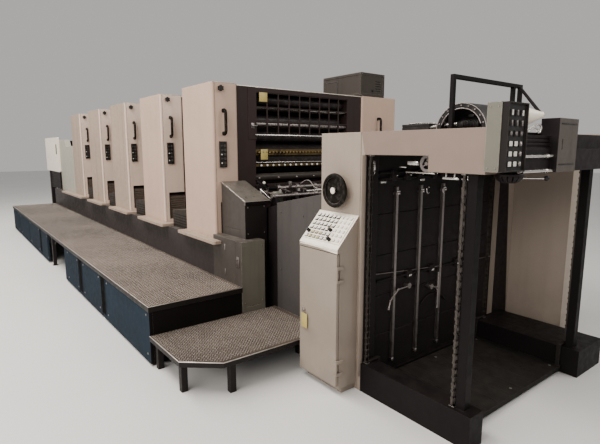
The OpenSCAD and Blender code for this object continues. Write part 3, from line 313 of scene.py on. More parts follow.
floor_finish = Finish("pale floor", 0.6)
floor_finish.raise_by(floor_finish.noise(60.0), 0.0003)
floor_cloud = floor_finish.noise(0.8, detail=4.0)
pale_floor = floor_finish.done(floor_finish.mix(floor_cloud, (0.62, 0.62, 0.61), (0.7, 0.7, 0.69)))

# the finish of each CAD node
NODE_FINISH = {
    cream: [f"unit_{n}_covers" for n in range(1, 6)],
    # the footplates take the darker cream, as painted shade
    cream_painted_shade: ["footplates"],
    beige: ["delivery_operator_frame", "delivery_drive_frame"],
    console_painted_shade: ["console_cabinet", "console_door"],
    unit_dark: [f"unit_{n}_body" for n in range(1, 6)] + ["roller_guards"],
    dark: [
        "transfer_guards", "delivery_core", "chain_housing", "feeder_frame",
        "delivery_end_beam", "feeder_head", "walkway_frame",
    ],
    pile_black: ["pile_board"],
    celadon: ["infeed_cover"],
    soot: ["overhead_frame", "delivery_base_frame"],
    cabinet: ["end_cabinet"],
    plinth: ["press_bed"],
    slate: ["walkway_panels"],
    tread: ["walkway_deck", "entry_step"],
    grey: ["motor_box"],
    side_grey: ["chain_side_panels"],
    moss: ["control_box"],
    olive: ["sloped_cover"],
    ivory: ["console_panel", "feeder_side_panels"],
    black: ["grab_handles", "unit_controls", "blower_cowl"],
    wheel_black: ["handwheel"],
    steel_bright: ["sheet_lever"],
    steel_dull: ["backstop_rods", "gripper_linkage"],
    chain: ["hoist_chains"],
    rubber: ["roller_train"],
    brass: ["ink_key_rows"],
    wood: ["feeder_pile_board"],
}

for finish, names in NODE_FINISH.items():
    for name in names:
        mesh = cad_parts[name].data
        mesh.materials.clear()
        mesh.materials.append(finish)

# ---- floor, light and camera ----

bpy.ops.mesh.primitive_plane_add(size=60, location=(0, 0, 0))
floor = bpy.context.object
floor.name = "studio_floor"
floor.data.materials.append(pale_floor)

world = bpy.data.worlds.new("studio")
bpy.context.scene.world = world
world.use_nodes = True
world.node_tree.nodes["Background"].inputs["Color"].default_value = (1.0, 0.97, 0.94, 1.0)
world.node_tree.nodes["Background"].inputs["Strength"].default_value = 0.5


def soft_light(name, place, target, size, power, colour):
    """A large rectangular lamp that faces a target."""
    lamp = bpy.data.lights.new(name, "AREA")
    lamp.shape = "RECTANGLE"
    lamp.size = size[0]
    lamp.size_y = size[1]
    lamp.energy = power
    lamp.color = colour
    holder = bpy.data.objects.new(name, lamp)
    bpy.context.collection.objects.link(holder)
    holder.location = place
    holder.rotation_euler = (Vector(target) - Vector(place)).to_track_quat("-Z", "Y").to_euler()


soft_light("roof_light", (-0.5, -3.0, 6.0), (0.0, 0, 0.5), (12, 1.6), 900, (1.0, 0.93, 0.86))
soft_light("end_light", (7.5, 2.5, 4.5), (3.0, 0, 1.0), (3.0, 2.0), 130, (1.0, 0.95, 0.88))
soft_light("side_light", (4.6, -7.0, 3.2), (0.8, 0, 1.1), (8.0, 2.0), 400, (1.0, 0.93, 0.87))

LOOK_DOWN, LOOK_RIGHT = 8.94, 37.639
camera = bpy.data.objects.new("camera", bpy.data.cameras.new("camera"))
bpy.context.collection.objects.link(camera)
camera.location = (5.95, -2.49, 1.48)
camera.rotation_euler = (math.radians(90 - LOOK_DOWN), 0, math.radians(90 - LOOK_RIGHT))
camera.data.sensor_width = 36
camera.data.lens = 27.92
camera.data.clip_end = 200
bpy.context.scene.camera = camera

# ---- shaping ----

TO_OPERATOR, TO_DRIVE, TO_DELIVERY = (0, -1, 0), (0, 1, 0), (1, 0, 0)


def settle(piece):
    """Puts a new primitive's place, turn and size into its mesh."""
    bpy.ops.object.transform_apply(location=True, rotation=True, scale=True)
    return piece


def soften(piece, edge, rounds=2):
    """Rounds the sharp edges of a piece."""
    bpy.context.view_layer.objects.active = piece
    made = piece.modifiers.new("edge", "BEVEL")
    made.width = edge
    made.segments = rounds
    made.limit_method = "ANGLE"
    bpy.ops.object.modifier_apply(modifier="edge")
    return piece


def slab(low, high, edge=0.002, rounds=2):
    """A flat-sided part between two corners, with softened edges."""
    low, high = Vector(low), Vector(high)
    bpy.ops.mesh.primitive_cube_add(size=1, location=(low + high) / 2, scale=high - low)
    return soften(settle(bpy.context.object), edge, rounds)


def rod(start, end, thick, sides=20, edge=0.0015, far=None):
    """A round bar from one point to another, tapered when far is given."""
    start, end = Vector(start), Vector(end)
    bpy.ops.mesh.primitive_cone_add(
        vertices=sides,
        radius1=thick / 2,
        radius2=(thick if far is None else far) / 2,
        depth=(end - start).length,
        location=(start + end) / 2,
        rotation=(end - start).to_track_quat("Z", "Y").to_euler(),
    )
    return soften(settle(bpy.context.object), edge, 2)


def edit(on=True):
    """Goes into edit mode, or out of it."""
    bpy.ops.object.mode_set(mode="EDIT" if on else "OBJECT")


def turned(profile, place=(0, 0, 0), facing=(0, 0, 1), steps=32):
    """A turned part: a profile of radius and height is extruded and spun."""
    bpy.ops.mesh.primitive_plane_add(size=0.01, location=(profile[0][0], 0, profile[0][1]))
    piece = settle(bpy.context.object)
    edit()
    bpy.ops.mesh.merge(type="CENTER")
    for near, far in zip(profile, profile[1:]):
        step = (far[0] - near[0], 0, far[1] - near[1])
        bpy.ops.mesh.extrude_region_move(TRANSFORM_OT_translate={"value": step})
    bpy.ops.mesh.select_all(action="SELECT")
    bpy.ops.mesh.spin(steps=steps, angle=math.tau, center=(0, 0, 0), axis=(0, 0, 1))
    bpy.ops.mesh.select_all(action="SELECT")
    bpy.ops.mesh.remove_doubles(threshold=0.00002)
    bpy.ops.mesh.normals_make_consistent(inside=False)
    edit(False)
    turn = Vector(facing).to_track_quat("Z", "Y").to_matrix().to_4x4()
    piece.data.transform(Matrix.Translation(place) @ turn)
    return piece


def bent(points, thick, sides=3, smooth=True):
    """A bent round bar or hose along points."""
    line = bpy.data.curves.new("line", "CURVE")
    line.dimensions = "3D"
    line.bevel_depth = thick / 2
    line.bevel_resolution = sides
    line.use_fill_caps = True
    spline = line.splines.new("BEZIER" if smooth else "POLY")
    knots = spline.bezier_points if smooth else spline.points
    knots.add(len(points) - 1)
    for knot, point in zip(knots, points):
        if smooth:
            knot.co = point
            knot.handle_left_type = knot.handle_right_type = "AUTO"
        else:
            knot.co = (*point, 1)
    piece = bpy.data.objects.new("line", line)
    bpy.context.collection.objects.link(piece)
    bpy.ops.object.select_all(action="DESELECT")
    piece.select_set(True)
    bpy.context.view_layer.objects.active = piece
    bpy.ops.object.convert(target="MESH")
    return bpy.context.object


def copies(model, places):
    """Copies of a small model, one for each matrix, each with its own mesh."""
    made = []
    for place in places:
        twin = model.copy()
        twin.data = model.data.copy()
        twin.data.transform(place)
        bpy.context.collection.objects.link(twin)
        made.append(twin)
    bpy.data.objects.remove(model)
    return made


def planted(model, spots, facing=(0, 0, 1)):
    """Copies of a small model at each spot, turned to one side."""
    turn = Vector(facing).to_track_quat("Z", "Y").to_matrix().to_4x4()
    return copies(model, [Matrix.Translation(spot) @ turn for spot in spots])


def grid(xs, ys, zs):
    """Every point with one of these x, one of these y and one of these z."""
    return [(x, y, z) for x in xs for y in ys for z in zs]


def joined(parts):
    """Joins parts into the first of them."""
    bpy.ops.object.select_all(action="DESELECT")
    for part in parts:
        part.select_set(True)
    bpy.context.view_layer.objects.active = parts[0]
    if len(parts) > 1:
        bpy.ops.object.join()
    return bpy.context.object


def assemble(name, parts, finish, body="press"):
    """Joins parts into one piece that rides on a body."""
    piece = joined(parts)
    piece.name = name
    piece.data.materials.clear()
    piece.data.materials.append(finish)
    bpy.ops.object.shade_smooth_by_angle(angle=math.radians(35))
    bpy.ops.object.select_all(action="DESELECT")
    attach(piece, body)
    return piece


def tint(name, finish, low, high):
    """Gives another finish to the faces of a CAD node whose middle is in a box."""
    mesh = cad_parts[name].data
    mesh.materials.append(finish)
    index = len(mesh.materials) - 1
    for face in mesh.polygons:
        if all(low[k] <= face.center[k] <= high[k] for k in range(3)):
            face.material_index = index


def screw_head(width=0.012, height=0.004):
    """A round screw head with softened edges."""
    bpy.ops.mesh.primitive_cylinder_add(
        vertices=12, radius=width / 2, depth=height, location=(0, 0, height / 2)
    )
    return soften(settle(bpy.context.object), height / 3, 1)


def hex_bolt(width=0.02, height=0.009):
    """A hexagon head on a washer."""
    bpy.ops.mesh.primitive_cylinder_add(
        vertices=6, radius=width / 2, depth=height, location=(0, 0, height / 2 + 0.002)
    )
    head = soften(settle(bpy.context.object), height / 6, 1)
    washer = rod((0, 0, 0), (0, 0, 0.003), width * 1.25, 16, 0.0006)
    return joined([head, washer])


def hinge(x, y, z, tall):
    """The upright barrel of a hinge, from its lower end."""
    return rod((x, y, z), (x, y, z + tall), 0.012, 12)


# ---- tread plate ----


def tread_bars(name, low, high, height, keep=None, pitch=0.034):
    """Raised bars of tread plate, laid two ways in turn over a rectangle."""
    long, wide = pitch * 0.7, pitch * 0.19
    rows = int((high[1] - low[1]) / pitch)
    lines = int((high[0] - low[0]) / pitch)
    parts = []
    for slant, start in ((45, 0.0), (-45, pitch / 2)):
        bpy.ops.mesh.primitive_cube_add(size=1, location=(0, 0, 0), scale=(long, wide, 0.002))
        bar = settle(bpy.context.object)
        edit()
        bpy.ops.mesh.select_mode(type="FACE")
        bpy.ops.mesh.select_all(action="DESELECT")
        edit(False)
        for face in bar.data.polygons:
            face.select = face.normal.z > 0.9
        edit()
        bpy.ops.transform.resize(value=(0.72, 0.35, 1))
        edit(False)
        turn = Matrix.Rotation(math.radians(slant), 4, "Z")
        corner = (low[0] + start + pitch / 4, low[1] + start + pitch / 4, height)
        bar.data.transform(Matrix.Translation(corner) @ turn)
        for axis, count in ((0, lines), (1, rows)):
            row = bar.modifiers.new("row", "ARRAY")
            row.count = count
            row.use_relative_offset = False
            row.use_constant_offset = True
            row.constant_offset_displace = [pitch if k == axis else 0 for k in range(3)]
            bpy.ops.object.modifier_apply(modifier="row")
        if keep:
            edit()
            bpy.ops.mesh.select_mode(type="VERT")
            bpy.ops.mesh.select_all(action="DESELECT")
            edit(False)
            for first in range(0, len(bar.data.vertices), 8):
                bunch = [bar.data.vertices[first + k] for k in range(8)]
                middle = sum((v.co for v in bunch), Vector()) / 8
                for vertex in bunch:
                    vertex.select = not keep(middle.x, middle.y)
            edit()
            bpy.ops.mesh.delete(type="VERT")
            edit(False)
        parts.append(bar)
    return assemble(name, parts, tread_top)


DECK_RIM = 0.012
CUT_X, CUT_Y = 0.175, 0.205
deck_low, deck_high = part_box("walkway_deck")
step_low, step_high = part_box("entry_step")


def on_step(x, y):
    """True over the entry step, inside its rim and its cut corner."""
    inner = step_high.x - DECK_RIM
    cut = (inner - x) / CUT_X + (y - step_low.y - DECK_RIM) / CUT_Y
    return x < inner and cut > 1.0


near = deck_low + Vector((DECK_RIM, DECK_RIM, 0))
far = deck_high - Vector((DECK_RIM, 0.004, 0))
tread_bars("deck_tread", near, far, deck_high.z, None, 0.028)
near = step_low + Vector((0.008, DECK_RIM, 0))
far = step_high - Vector((DECK_RIM, 0.02, 0))
tread_bars("step_tread", near, far, step_high.z, on_step, 0.024)

# dark rims of both plates, with a worn bright edge along the top
tint("walkway_deck", case_grey, deck_low, deck_high - Vector((0, 0, 0.002)))
tint("entry_step", case_grey, (step_low.x, step_low.y, 0), step_high - Vector((0, 0, 0.002)))
under, over = deck_high.z - 0.003, deck_high.z + 0.001
edge = [
    slab((deck_low.x, deck_low.y - 0.0005, under), (deck_high.x, deck_low.y + 0.005, over), 0.0008),
    slab((deck_high.x - 0.005, deck_low.y, under), (deck_high.x + 0.0005, deck_high.y, over), 0.0008),
]
corners = [
    (step_low.x, step_low.y), (step_high.x - CUT_X, step_low.y),
    (step_high.x, step_low.y + CUT_Y), (step_high.x, step_high.y),
]
edge.append(bent([(x, y + 0.0015, step_high.z - 0.0008) for x, y in corners], 0.006, smooth=False))
assemble("plate_edges", edge, rim_steel)

# ---- walkway ----

PANEL_FACE = -1.464
PANEL_GAPS = [(1.758, 0.055, 0.385), (0.955, 0.055, 0.39), (-1.34, 0.07, 0.385)]
PANEL_SCREWS = [-4.05, -3.45, -3.15, -2.2, -2.1, -1.4, -0.75, -0.2, 0.45, 0.9, 1.15, 1.70, 1.95, 2.9]
LEG_PITCH, FOOT_HALF = 0.8763, 0.028

# the dark end of the walkway, and dark gaps with a strip each between its side panels
tint("walkway_panels", soot, (2.93, -1.46, 0.0), (2.96, -0.74, 0.43))
slots = [
    slab((x, PANEL_FACE - 0.0012, low), (x + 0.128, PANEL_FACE + 0.004, high), 0.0004, 1)
    for x, low, high in PANEL_GAPS
]
assemble("walkway_slots", slots, slot_black)
strips = [
    slab((x + 0.131, PANEL_FACE - 0.0032, 0.045), (x + 0.138, PANEL_FACE + 0.004, 0.40), 0.0008, 1)
    for x, low, high in PANEL_GAPS
]
assemble("walkway_slot_strips", strips, slate)

spots = grid(PANEL_SCREWS, [PANEL_FACE + 0.0002], (0.08, 0.36))
assemble("panel_screws", planted(screw_head(0.016, 0.004), spots, TO_OPERATOR), steel_dull)
feet = [
    slab((x - FOOT_HALF, y - FOOT_HALF, 0), (x + FOOT_HALF, y + FOOT_HALF, 0.008), 0.002)
    for x in [-4.10 + k * LEG_PITCH for k in range(9)] for y in (-1.42, -0.77)
]
assemble("leg_feet", feet, rubber)

# ---- covers of the units ----

FACES = [-1.9, -0.8, 0.3, 1.4, 2.5]
OP_Y, BACK_Y = -0.716, 1.47
HANDLE_Y = (OP_Y + 0.096, 1.2)
HANDLE_MID = 1.695

rose = turned([(0, 0.006), (0.012, 0.006), (0.014, 0.004), (0.014, 0), (0, 0)], steps=16)
roses = planted(rose, grid(FACES, HANDLE_Y, (1.606, 1.784)), TO_DELIVERY)
assemble("handle_roses", roses, black)

bend = [(0, 1.599), (0.024, 1.599), (0.038, 1.606), (0.045, 1.624)]
bend += [(dx, 2 * HANDLE_MID - z) for dx, z in reversed(bend)]
parts = [
    bent([(x + dx, y, z) for dx, z in bend], 0.025, 4, smooth=False)
    for x in FACES for y in HANDLE_Y
]
bows = assemble("handle_bows", parts, wheel_black)
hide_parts("grab_handles")

spots = [(x + dx, BACK_Y, z) for x in FACES for z in (0.80, 1.93) for dx in (-0.54, -0.04)]
assemble("drive_cover_screws", planted(screw_head(0.014, 0.004), spots, TO_DRIVE), steel_dull)

parts = []
grip = [(0.002, 1.34), (0.022, 1.35), (0.022, 1.39), (0.002, 1.40)]
for x in FACES:
    parts.append(slab((x - 0.36, BACK_Y, 1.30), (x - 0.28, BACK_Y + 0.004, 1.44), 0.002))
    parts.append(bent([(x - 0.335, BACK_Y + dy, z) for dy, z in grip], 0.009))
    parts.append(rod((x - 0.30, BACK_Y, 1.37), (x - 0.30, BACK_Y + 0.009, 1.37), 0.016))
assemble("drive_door_latches", parts, steel_dull)
parts = [hinge(x - 0.548, BACK_Y + 0.004, z, 0.07) for x in FACES for z in (0.95, 1.75)]
assemble("drive_door_hinges", parts, steel_dull)

# seams along the hoods and a strip at the front edge of each, both in bright ivory as a painted highlight
parts = [slab((x - 0.022, -0.48, 1.9975), (x - 0.013, 0.96, 2.0035), 0.001) for x in FACES]
parts += [slab((x - 0.007, OP_Y + 0.002, 2.0085), (x + 0.0005, -0.49, 2.0115), 0.001) for x in FACES]
assemble("hood_edge_highlights", parts, ivory)
parts = [
    rod((x - 0.02, y, 1.995), (x - 0.02, y + 0.05, 1.995), 0.014, 12)
    for x in FACES for y in (-0.3, 0.24, 0.74)
]
assemble("hood_hinges", parts, steel_dull)

# ---- roller windows ----

WINDOW = (-0.3015, 0.7815)
WIDE = WINDOW[1] - WINDOW[0]


def crossbar(x, z, thick, sides=12, past=0.0):
    """A bar over the whole width of a roller window."""
    return rod((x, WINDOW[0] - past, z), (x, WINDOW[1] + past, z), thick, sides)


parts = []
for x in FACES:
    parts += [crossbar(x - 0.032, 1.83, 0.012), crossbar(x - 0.006, 1.598, 0.018, 16, 0.01)]
    parts.append(crossbar(x - 0.05, 1.36, 0.01))
assemble("window_bars", parts, steel_bright)

rail = slab((-0.034, WINDOW[0], 1.682), (-0.026, WINDOW[1], 1.702), 0.001)
spots = [(-0.026, WINDOW[0] + 0.03 + k * 0.038, 1.692) for k in range(28)]
studs = planted(slab((-0.004, -0.006, 0), (0.004, 0.006, 0.006), 0.001), spots, TO_DELIVERY)
rails = copies(joined([rail] + studs), [Matrix.Translation((x, 0, 0)) for x in FACES])
assemble("stud_rails", rails, steel_dull)

key = turned([(0, 0.012), (0.006, 0.012), (0.0085, 0.010), (0.0085, 0.002), (0.006, 0), (0, 0)], steps=12)
spots = [(x - 0.023, WINDOW[0] + k * WIDE / 29, 1.45) for x in FACES for k in range(1, 29)]
assemble("ink_key_caps", planted(key, spots, TO_DELIVERY), old_brass)
cap = turned([(0, 0.010), (0.007, 0.009), (0.009, 0.005), (0.009, 0), (0, 0)], steps=12)
spots = [(x - 0.029, WINDOW[0] + k * WIDE / 17, 1.335) for x in FACES for k in range(1, 17)]
assemble("stud_caps", planted(cap, spots, TO_DELIVERY), white)

parts = []
for x in FACES:
    parts.append(slab((x - 0.012, -0.35, 1.652), (x - 0.004, -0.318, 1.698), 0.002))
    path = [(x - 0.008, -0.345, 1.675), (x + 0.012, -0.34, 1.675), (x + 0.012, -0.30, 1.675)]
    parts.append(bent(path, 0.010))
assemble("guard_latches", parts, steel_dull)

x = FACES[-1]
parts = [
    slab((x - 0.0155, -0.26, 1.881), (x - 0.0115, -0.178, 1.972), 0.001),
    slab((x - 0.0155, -0.25, 1.386), (x - 0.0115, -0.178, 1.476), 0.001),
]
assemble("bare_yellow_plates", parts, yellow)

# ---- between the last unit and the delivery ----

LINK_PITCH, COIL_R = 0.1973, 0.009
link_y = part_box("gripper_linkage")[0].y
parts = []
for k in range(7):
    y = link_y + 0.055 + k * LINK_PITCH
    parts += planted(hex_bolt(0.017, 0.007), [(2.62, y, 1.232)])
    parts += planted(hex_bolt(0.013, 0.006), [(2.655, y + 0.015, 1.09)], TO_DELIVERY)
for k in range(6):
    y = link_y + 0.12 + k * LINK_PITCH
    coil = [
        (2.64 + COIL_R * math.cos(n * 0.9), y + COIL_R * math.sin(n * 0.9), 1.15 - n * 0.0016)
        for n in range(50)
    ]
    parts.append(bent(coil, 0.003, 1))
parts.append(bent([(2.60, 0.10, 1.17), (2.66, 0.14, 1.20), (2.72, 0.17, 1.14), (2.80, 0.22, 1.12)], 0.009))
parts.append(slab((2.615, -0.06, 1.128), (2.645, -0.03, 1.196), 0.003))
assemble("linkage_fittings", parts, steel_dull)
tint("gripper_linkage", soot, (2.5, -0.42, 0.9), (2.66, -0.2, 1.3))
tint("gripper_linkage", soot, (2.84, -0.42, 0.9), (2.95, 0.9, 1.085))
parts = [
    rod((2.82, -0.205, 1.085), (2.82, -0.07, 1.085), 0.085, 24, 0.006),
    slab((2.775, -0.19, 1.03), (2.865, -0.15, 1.10), 0.004),
    rod((2.655, -0.40, 1.215), (2.70, -0.345, 1.16), 0.026, 16, 0.004),
]
assemble("linkage_motor", parts, soot)
parts = [
    slab((2.765, -0.345, 1.045), (2.835, -0.262, 1.125), 0.005),
    slab((2.78, -0.33, 1.122), (2.82, -0.28, 1.132), 0.002),
]
assemble("linkage_box", parts, moss)
ball = [(0, 0.013), (0.008, 0.0105), (0.013, 0.004), (0.013, -0.004), (0.008, -0.0105), (0, -0.013)]
assemble("linkage_knob", [turned(ball, (2.662, -0.335, 1.196), (0.4, -0.9, 0.2), 20)], white)
rails = [
    rod((2.862, -0.04, 1.128), (2.862, 0.60, 1.128), 0.013, 12),
    rod((2.90, 0.02, 1.078), (2.90, 0.50, 1.078), 0.018, 12),
    rod((2.70, -0.40, 1.150), (2.79, -0.36, 1.075), 0.011, 12),
]
assemble("linkage_rails", rails, steel_bright)

tail_low, tail_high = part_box("chain_side_panels")
spots = grid((3.05, 3.33, 3.62), [tail_low.y], (0.12, 0.55, 1.0))
heads = planted(screw_head(0.014, 0.004), spots, TO_OPERATOR)
spots = grid((2.56, 2.95, 3.33, 3.62), [tail_high.y], (0.12, 0.55, 0.95))
heads += planted(screw_head(0.014, 0.004), spots, TO_DRIVE)
assemble("side_panel_screws", heads, side_grey)

parts = [hinge(2.70, -0.7405, z, 0.05) for z in (0.48, 0.68)]
parts.append(slab((2.885, -0.746, 0.58), (2.925, -0.7385, 0.66), 0.002))
parts.append(rod((2.905, -0.745, 0.64), (2.905, -0.752, 0.64), 0.018))
for x, ys, zs in ((2.87, (-0.625, -0.475), (0.82, 1.03)), (2.955, (-0.715, -0.555), (0.30, 0.74))):
    parts += planted(screw_head(0.012, 0.003), grid([x], ys, zs), TO_DELIVERY)
assemble("end_cabinet_fittings", parts, steel_dull)
cab_low, cab_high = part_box("end_cabinet")
tint("end_cabinet", case_grey, (2.86, -0.66, 0.0), (2.88, -0.44, 1.06))
tint("end_cabinet", moss, (cab_high.x - 0.002, cab_low.y, 0.0), (cab_high.x + 0.001, cab_high.y, 0.80))

# dark face and worn edges of the sloped cover
cover_low, cover_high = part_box("sloped_cover")
near = (cover_high.x - 0.003, cover_low.y, cover_low.z - 0.05)
tint("sloped_cover", soot, near, (cover_high.x + 0.001, cover_high.y, cover_high.z))
path = [
    (cover_low.x + 0.004, cover_low.y + 0.001, cover_high.z - 0.001),
    (cover_high.x - 0.002, cover_low.y + 0.001, cover_low.z + 0.0265),
]
lip_x, lip_z = cover_high.x - 0.003, cover_low.z + 0.0255
parts = [
    bent(path, 0.005, smooth=False),
    rod((lip_x, cover_low.y, lip_z), (lip_x, cover_high.y, lip_z), 0.005, 12, 0.001),
]
assemble("slope_edges", parts, rim_steel)

# ---- console ----

PANEL_CORNER = Vector((3.657, -0.725, 0.905))
PANEL_RISE, PANEL_RUN = 0.186, 0.168
slope = math.atan2(PANEL_RISE, PANEL_RUN)
across = Vector((1, 0, 0))
up_slope = Vector((0, math.cos(slope), math.sin(slope)))
out = Vector((0, -math.sin(slope), math.cos(slope)))


def on_panel(right, up, lift):
    """A point on the slanted panel, in metres from its lower left corner."""
    return PANEL_CORNER + across * right + up_slope * up + out * lift


def panel_part(right, up, size, lift, tall):
    """A small raised block that lies on the slanted panel."""
    bpy.ops.mesh.primitive_cube_add(size=1, location=(0, 0, 0), scale=(size[0], size[1], tall))
    part = soften(settle(bpy.context.object), 0.0008, 1)
    turn = Matrix.Rotation(slope, 4, "X")
    part.data.transform(Matrix.Translation(on_panel(right, up, lift + tall / 2)) @ turn)
    return part


KEY_ROWS, KEY_COLUMNS = 6, 9
KNOB_KEYS = {(1, 0), (2, 5), (0, 6)}
knob = [(0, 0.026), (0.008, 0.026), (0.010, 0.022), (0.012, 0.004), (0.013, 0.0), (0, 0)]
frames, caps, highlight_caps, knobs, marks = [], [], [], [], []
for row in range(KEY_ROWS):
    for column in range(KEY_COLUMNS):
        right, up = 0.034 + column * 0.036, 0.051 + row * 0.0319
        if (row, column) in KNOB_KEYS:
            knobs.append(turned(knob, on_panel(right, up, 0.0045), out, 20))
            knobs.append(panel_part(right, up, (0.003, 0.022), 0.027, 0.003))
            continue
        if column < 6:
            frames.append(panel_part(right, up, (0.0305, 0.0245), 0.0035, 0.0015))
        elif row < 5:
            marks.append(panel_part(right, up + 0.013, (0.012, 0.004), 0.0035, 0.0012))
        # yellow caps on the lower left keys are a painted highlight
        target = highlight_caps if row < 2 and 0 < column < 4 else caps
        target.append(panel_part(right, up, (0.017, 0.011), 0.0085, 0.0022))
assemble("panel_key_frames", frames, black)
assemble("panel_key_caps", caps, white)
assemble("panel_marks", marks, tan)
assemble("panel_yellow_highlight_caps", highlight_caps, yellow)
assemble("panel_knobs", knobs, black)

parts = [rod((3.713, -0.7335, 0.470), (3.713, -0.7385, 0.470), 0.02, 24, 0.001)]
parts.append(slab((3.712, -0.7392, 0.462), (3.714, -0.7382, 0.478), 0.0003, 1))
assemble("console_lock", parts, steel_bright, "door")
parts = [slab((3.690, -0.7375, 0.352), (3.748, -0.7352, 0.447), 0.001)]
assemble("console_bare_plate", parts, yellow, "door")
# a bright ivory strip along the console's front lip, and an ivory tint on the cabinet around the panel:
# painted highlight
parts = [slab((3.665, -0.727, 0.893), (4.008, -0.7245, 0.9005), 0.001)]
assemble("console_lip_highlight", parts, ivory)
tint("console_cabinet", ivory, (3.70, -0.735, 0.895), (3.98, -0.56, 1.09))

# ---- handwheel ----

hub = [(0, 0.0138), (0.0175, 0.0138), (0.0195, 0.0125), (0.020, 0.010), (0.020, 0.0), (0, 0)]
assemble("wheel_hub", [turned(hub, (3.85, -0.6105, 1.23), TO_OPERATOR)], ivory, "wheel")
grip_ring = [(0.079, 0.0), (0.083, 0.0035), (0.086, 0.0035), (0.0865, 0.0), (0.079, 0.0)]
assemble("wheel_ring", [turned(grip_ring, (3.85, -0.612, 1.23), TO_OPERATOR, 48)], umber, "wheel")

# ---- control box ----

BUTTON_PITCH = 0.044
BUTTON_BACK = 4.8945
box_low, box_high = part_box("control_box")
tint("control_box", case_grey, (box_high.x - 0.033, -0.6, 1.3), (4.95, -0.3, 1.7))
near = (box_high.x - 0.012, box_low.y + 0.010, box_low.z + 0.010)
tint("control_box", black, near, (box_high.x - 0.004, box_high.y - 0.010, box_high.z - 0.010))


def button(y, z, half_wide, half_tall):
    """A square button on the end of the control box."""
    low = (BUTTON_BACK, y - half_wide, z - half_tall)
    return slab(low, (4.8985, y + half_wide, z + half_tall), 0.001)


whites, lamps, shafts = [], [], []
for row in range(6):
    z = box_low.z + 0.037 + row * BUTTON_PITCH
    for column in range(3):
        y = box_low.y + 0.038 + column * BUTTON_PITCH
        if row > 3:
            target = lamps if row == 4 or column == 1 else whites
            target.append(button(y, z, 0.0045, 0.0115))
        elif row == 3:
            lamps.append(rod((BUTTON_BACK, y, z), (4.8975, y, z), 0.018))
        elif column < 2:
            whites.append(button(y, z, 0.0115, 0.0105))
        else:
            lamps.append(rod((BUTTON_BACK, y, z), (4.8965, y, z), 0.022))
            shafts.append(slab((4.896, y - 0.0025, z - 0.008), (4.899, y + 0.0025, z + 0.008), 0.0006))
assemble("box_white_buttons", whites, white)
assemble("box_lamps", lamps, steel_dull)
assemble("box_turn_keys", shafts, steel_bright)
low_z, high_z = box_low.z + 0.004, box_high.z - 0.004
edge = [
    slab((BUTTON_BACK, box_high.y - 0.004, low_z), (4.8992, box_high.y - 0.0008, high_z), 0.0008),
    slab((4.8655, box_low.y - 0.0015, low_z), (4.869, box_low.y + 0.002, high_z), 0.0008),
]
assemble("box_edge_strips", edge, moss)
spots = grid((4.814, 4.852), [box_low.y], (1.395, 1.66))
assemble("box_screws", planted(screw_head(0.008, 0.002), spots, TO_OPERATOR), steel_dull)

# ---- end beam and what hangs on it ----

RAIL_Z = (1.375, 1.445)
washer = [(0, 0.004), (0.011, 0.004), (0.013, 0.0), (0, 0)]
parts = [turned(washer, (4.872, y, z), TO_DRIVE, 16) for y in (-0.38, -0.14) for z in RAIL_Z]
arc = [
    (4.868, -0.37, 1.56), (4.872, -0.31, 1.578), (4.872, -0.25, 1.592), (4.868, -0.215, 1.585),
    (4.862, -0.205, 1.567), (4.862, -0.222, 1.556), (4.864, -0.24, 1.562),
]
parts.append(bent(arc, 0.010))
parts.append(bent([(x - 0.012, y, z - 0.016) for x, y, z in arc[:4]], 0.007))
parts.append(slab((4.862, -0.385, 1.545), (4.878, -0.362, 1.575), 0.002))
assemble("polished_bracket", parts, steel_bright)

SENSOR_Y = -0.446
parts = [slab((4.502, SENSOR_Y - 0.006, 1.326), (4.592, SENSOR_Y + 0.006, 1.338), 0.002)]
parts += [rod((x, SENSOR_Y, 1.338), (x, SENSOR_Y, 1.366), 0.008, 12) for x in (4.52, 4.57)]
parts.append(rod((4.612, SENSOR_Y, 1.332), (4.650, SENSOR_Y, 1.332), 0.012, 12))
parts.append(rod((4.628, SENSOR_Y, 1.332), (4.628, SENSOR_Y, 1.366), 0.008, 12))
assemble("sensor_bar", parts, steel_bright)

ribs = [slab((4.8895, -0.05, z), (4.8925, 0.12, z + 0.006), 0.001) for z in (1.60, 1.40)]
assemble("case_ribs", ribs, black)
tint("delivery_end_beam", case_end, (4.886, -0.06, 1.33), (4.896, 0.14, 1.64))
for z in RAIL_Z:
    tint("delivery_end_beam", steel_bright, (4.8635, -0.41, z - 0.0085), (4.8805, -0.071, z + 0.0085))

LEVER_AT, LEVER_REACH, LEVER_TURN = Vector((4.76, -0.20, 1.335)), 0.140, math.radians(41)
ball = [
    (0, 0.0142), (0.006, 0.0129), (0.0105, 0.0095), (0.0136, 0.004), (0.0142, -0.001),
    (0.012, -0.008), (0.007, -0.0125), (0, -0.0142),
]
reach = Vector((math.cos(LEVER_TURN), math.sin(LEVER_TURN), 0))
assemble("lever_ball", [turned(ball, LEVER_AT + reach * LEVER_REACH, reach, 24)], black, "lever")

# ---- hoist and pile ----

CHAINS = [(4.07, -0.525, 1.446), (4.68, -0.525, 1.365), (4.07, 0.765, 1.446), (4.68, 0.765, 1.446)]
parts = []
for x, y, top in CHAINS:
    parts.append(slab((x - 0.012, y - 0.016, top - 0.008), (x + 0.012, y + 0.016, top), 0.002))
    parts.append(slab((x - 0.016, y - 0.014, 0.180), (x + 0.016, y + 0.014, 0.187), 0.002))
assemble("chain_anchors", parts, steel_dull)

board_low, board_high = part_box("pile_board")
parts = []
for k in range(7):
    y = board_low.y + 0.165 + k * 0.132
    parts.append(slab((4.075, y - 0.0035, 0.0496), (board_high.x - 0.015, y + 0.0035, 0.0514), 0.0006, 1))
assemble("board_ribs", parts, dark, "board")
spots = grid((4.11, board_high.x - 0.05), (-0.38, 0.12, 0.62), [0.05])
assemble("board_bolts", planted(screw_head(0.018, 0.003), spots), steel_dull, "board")

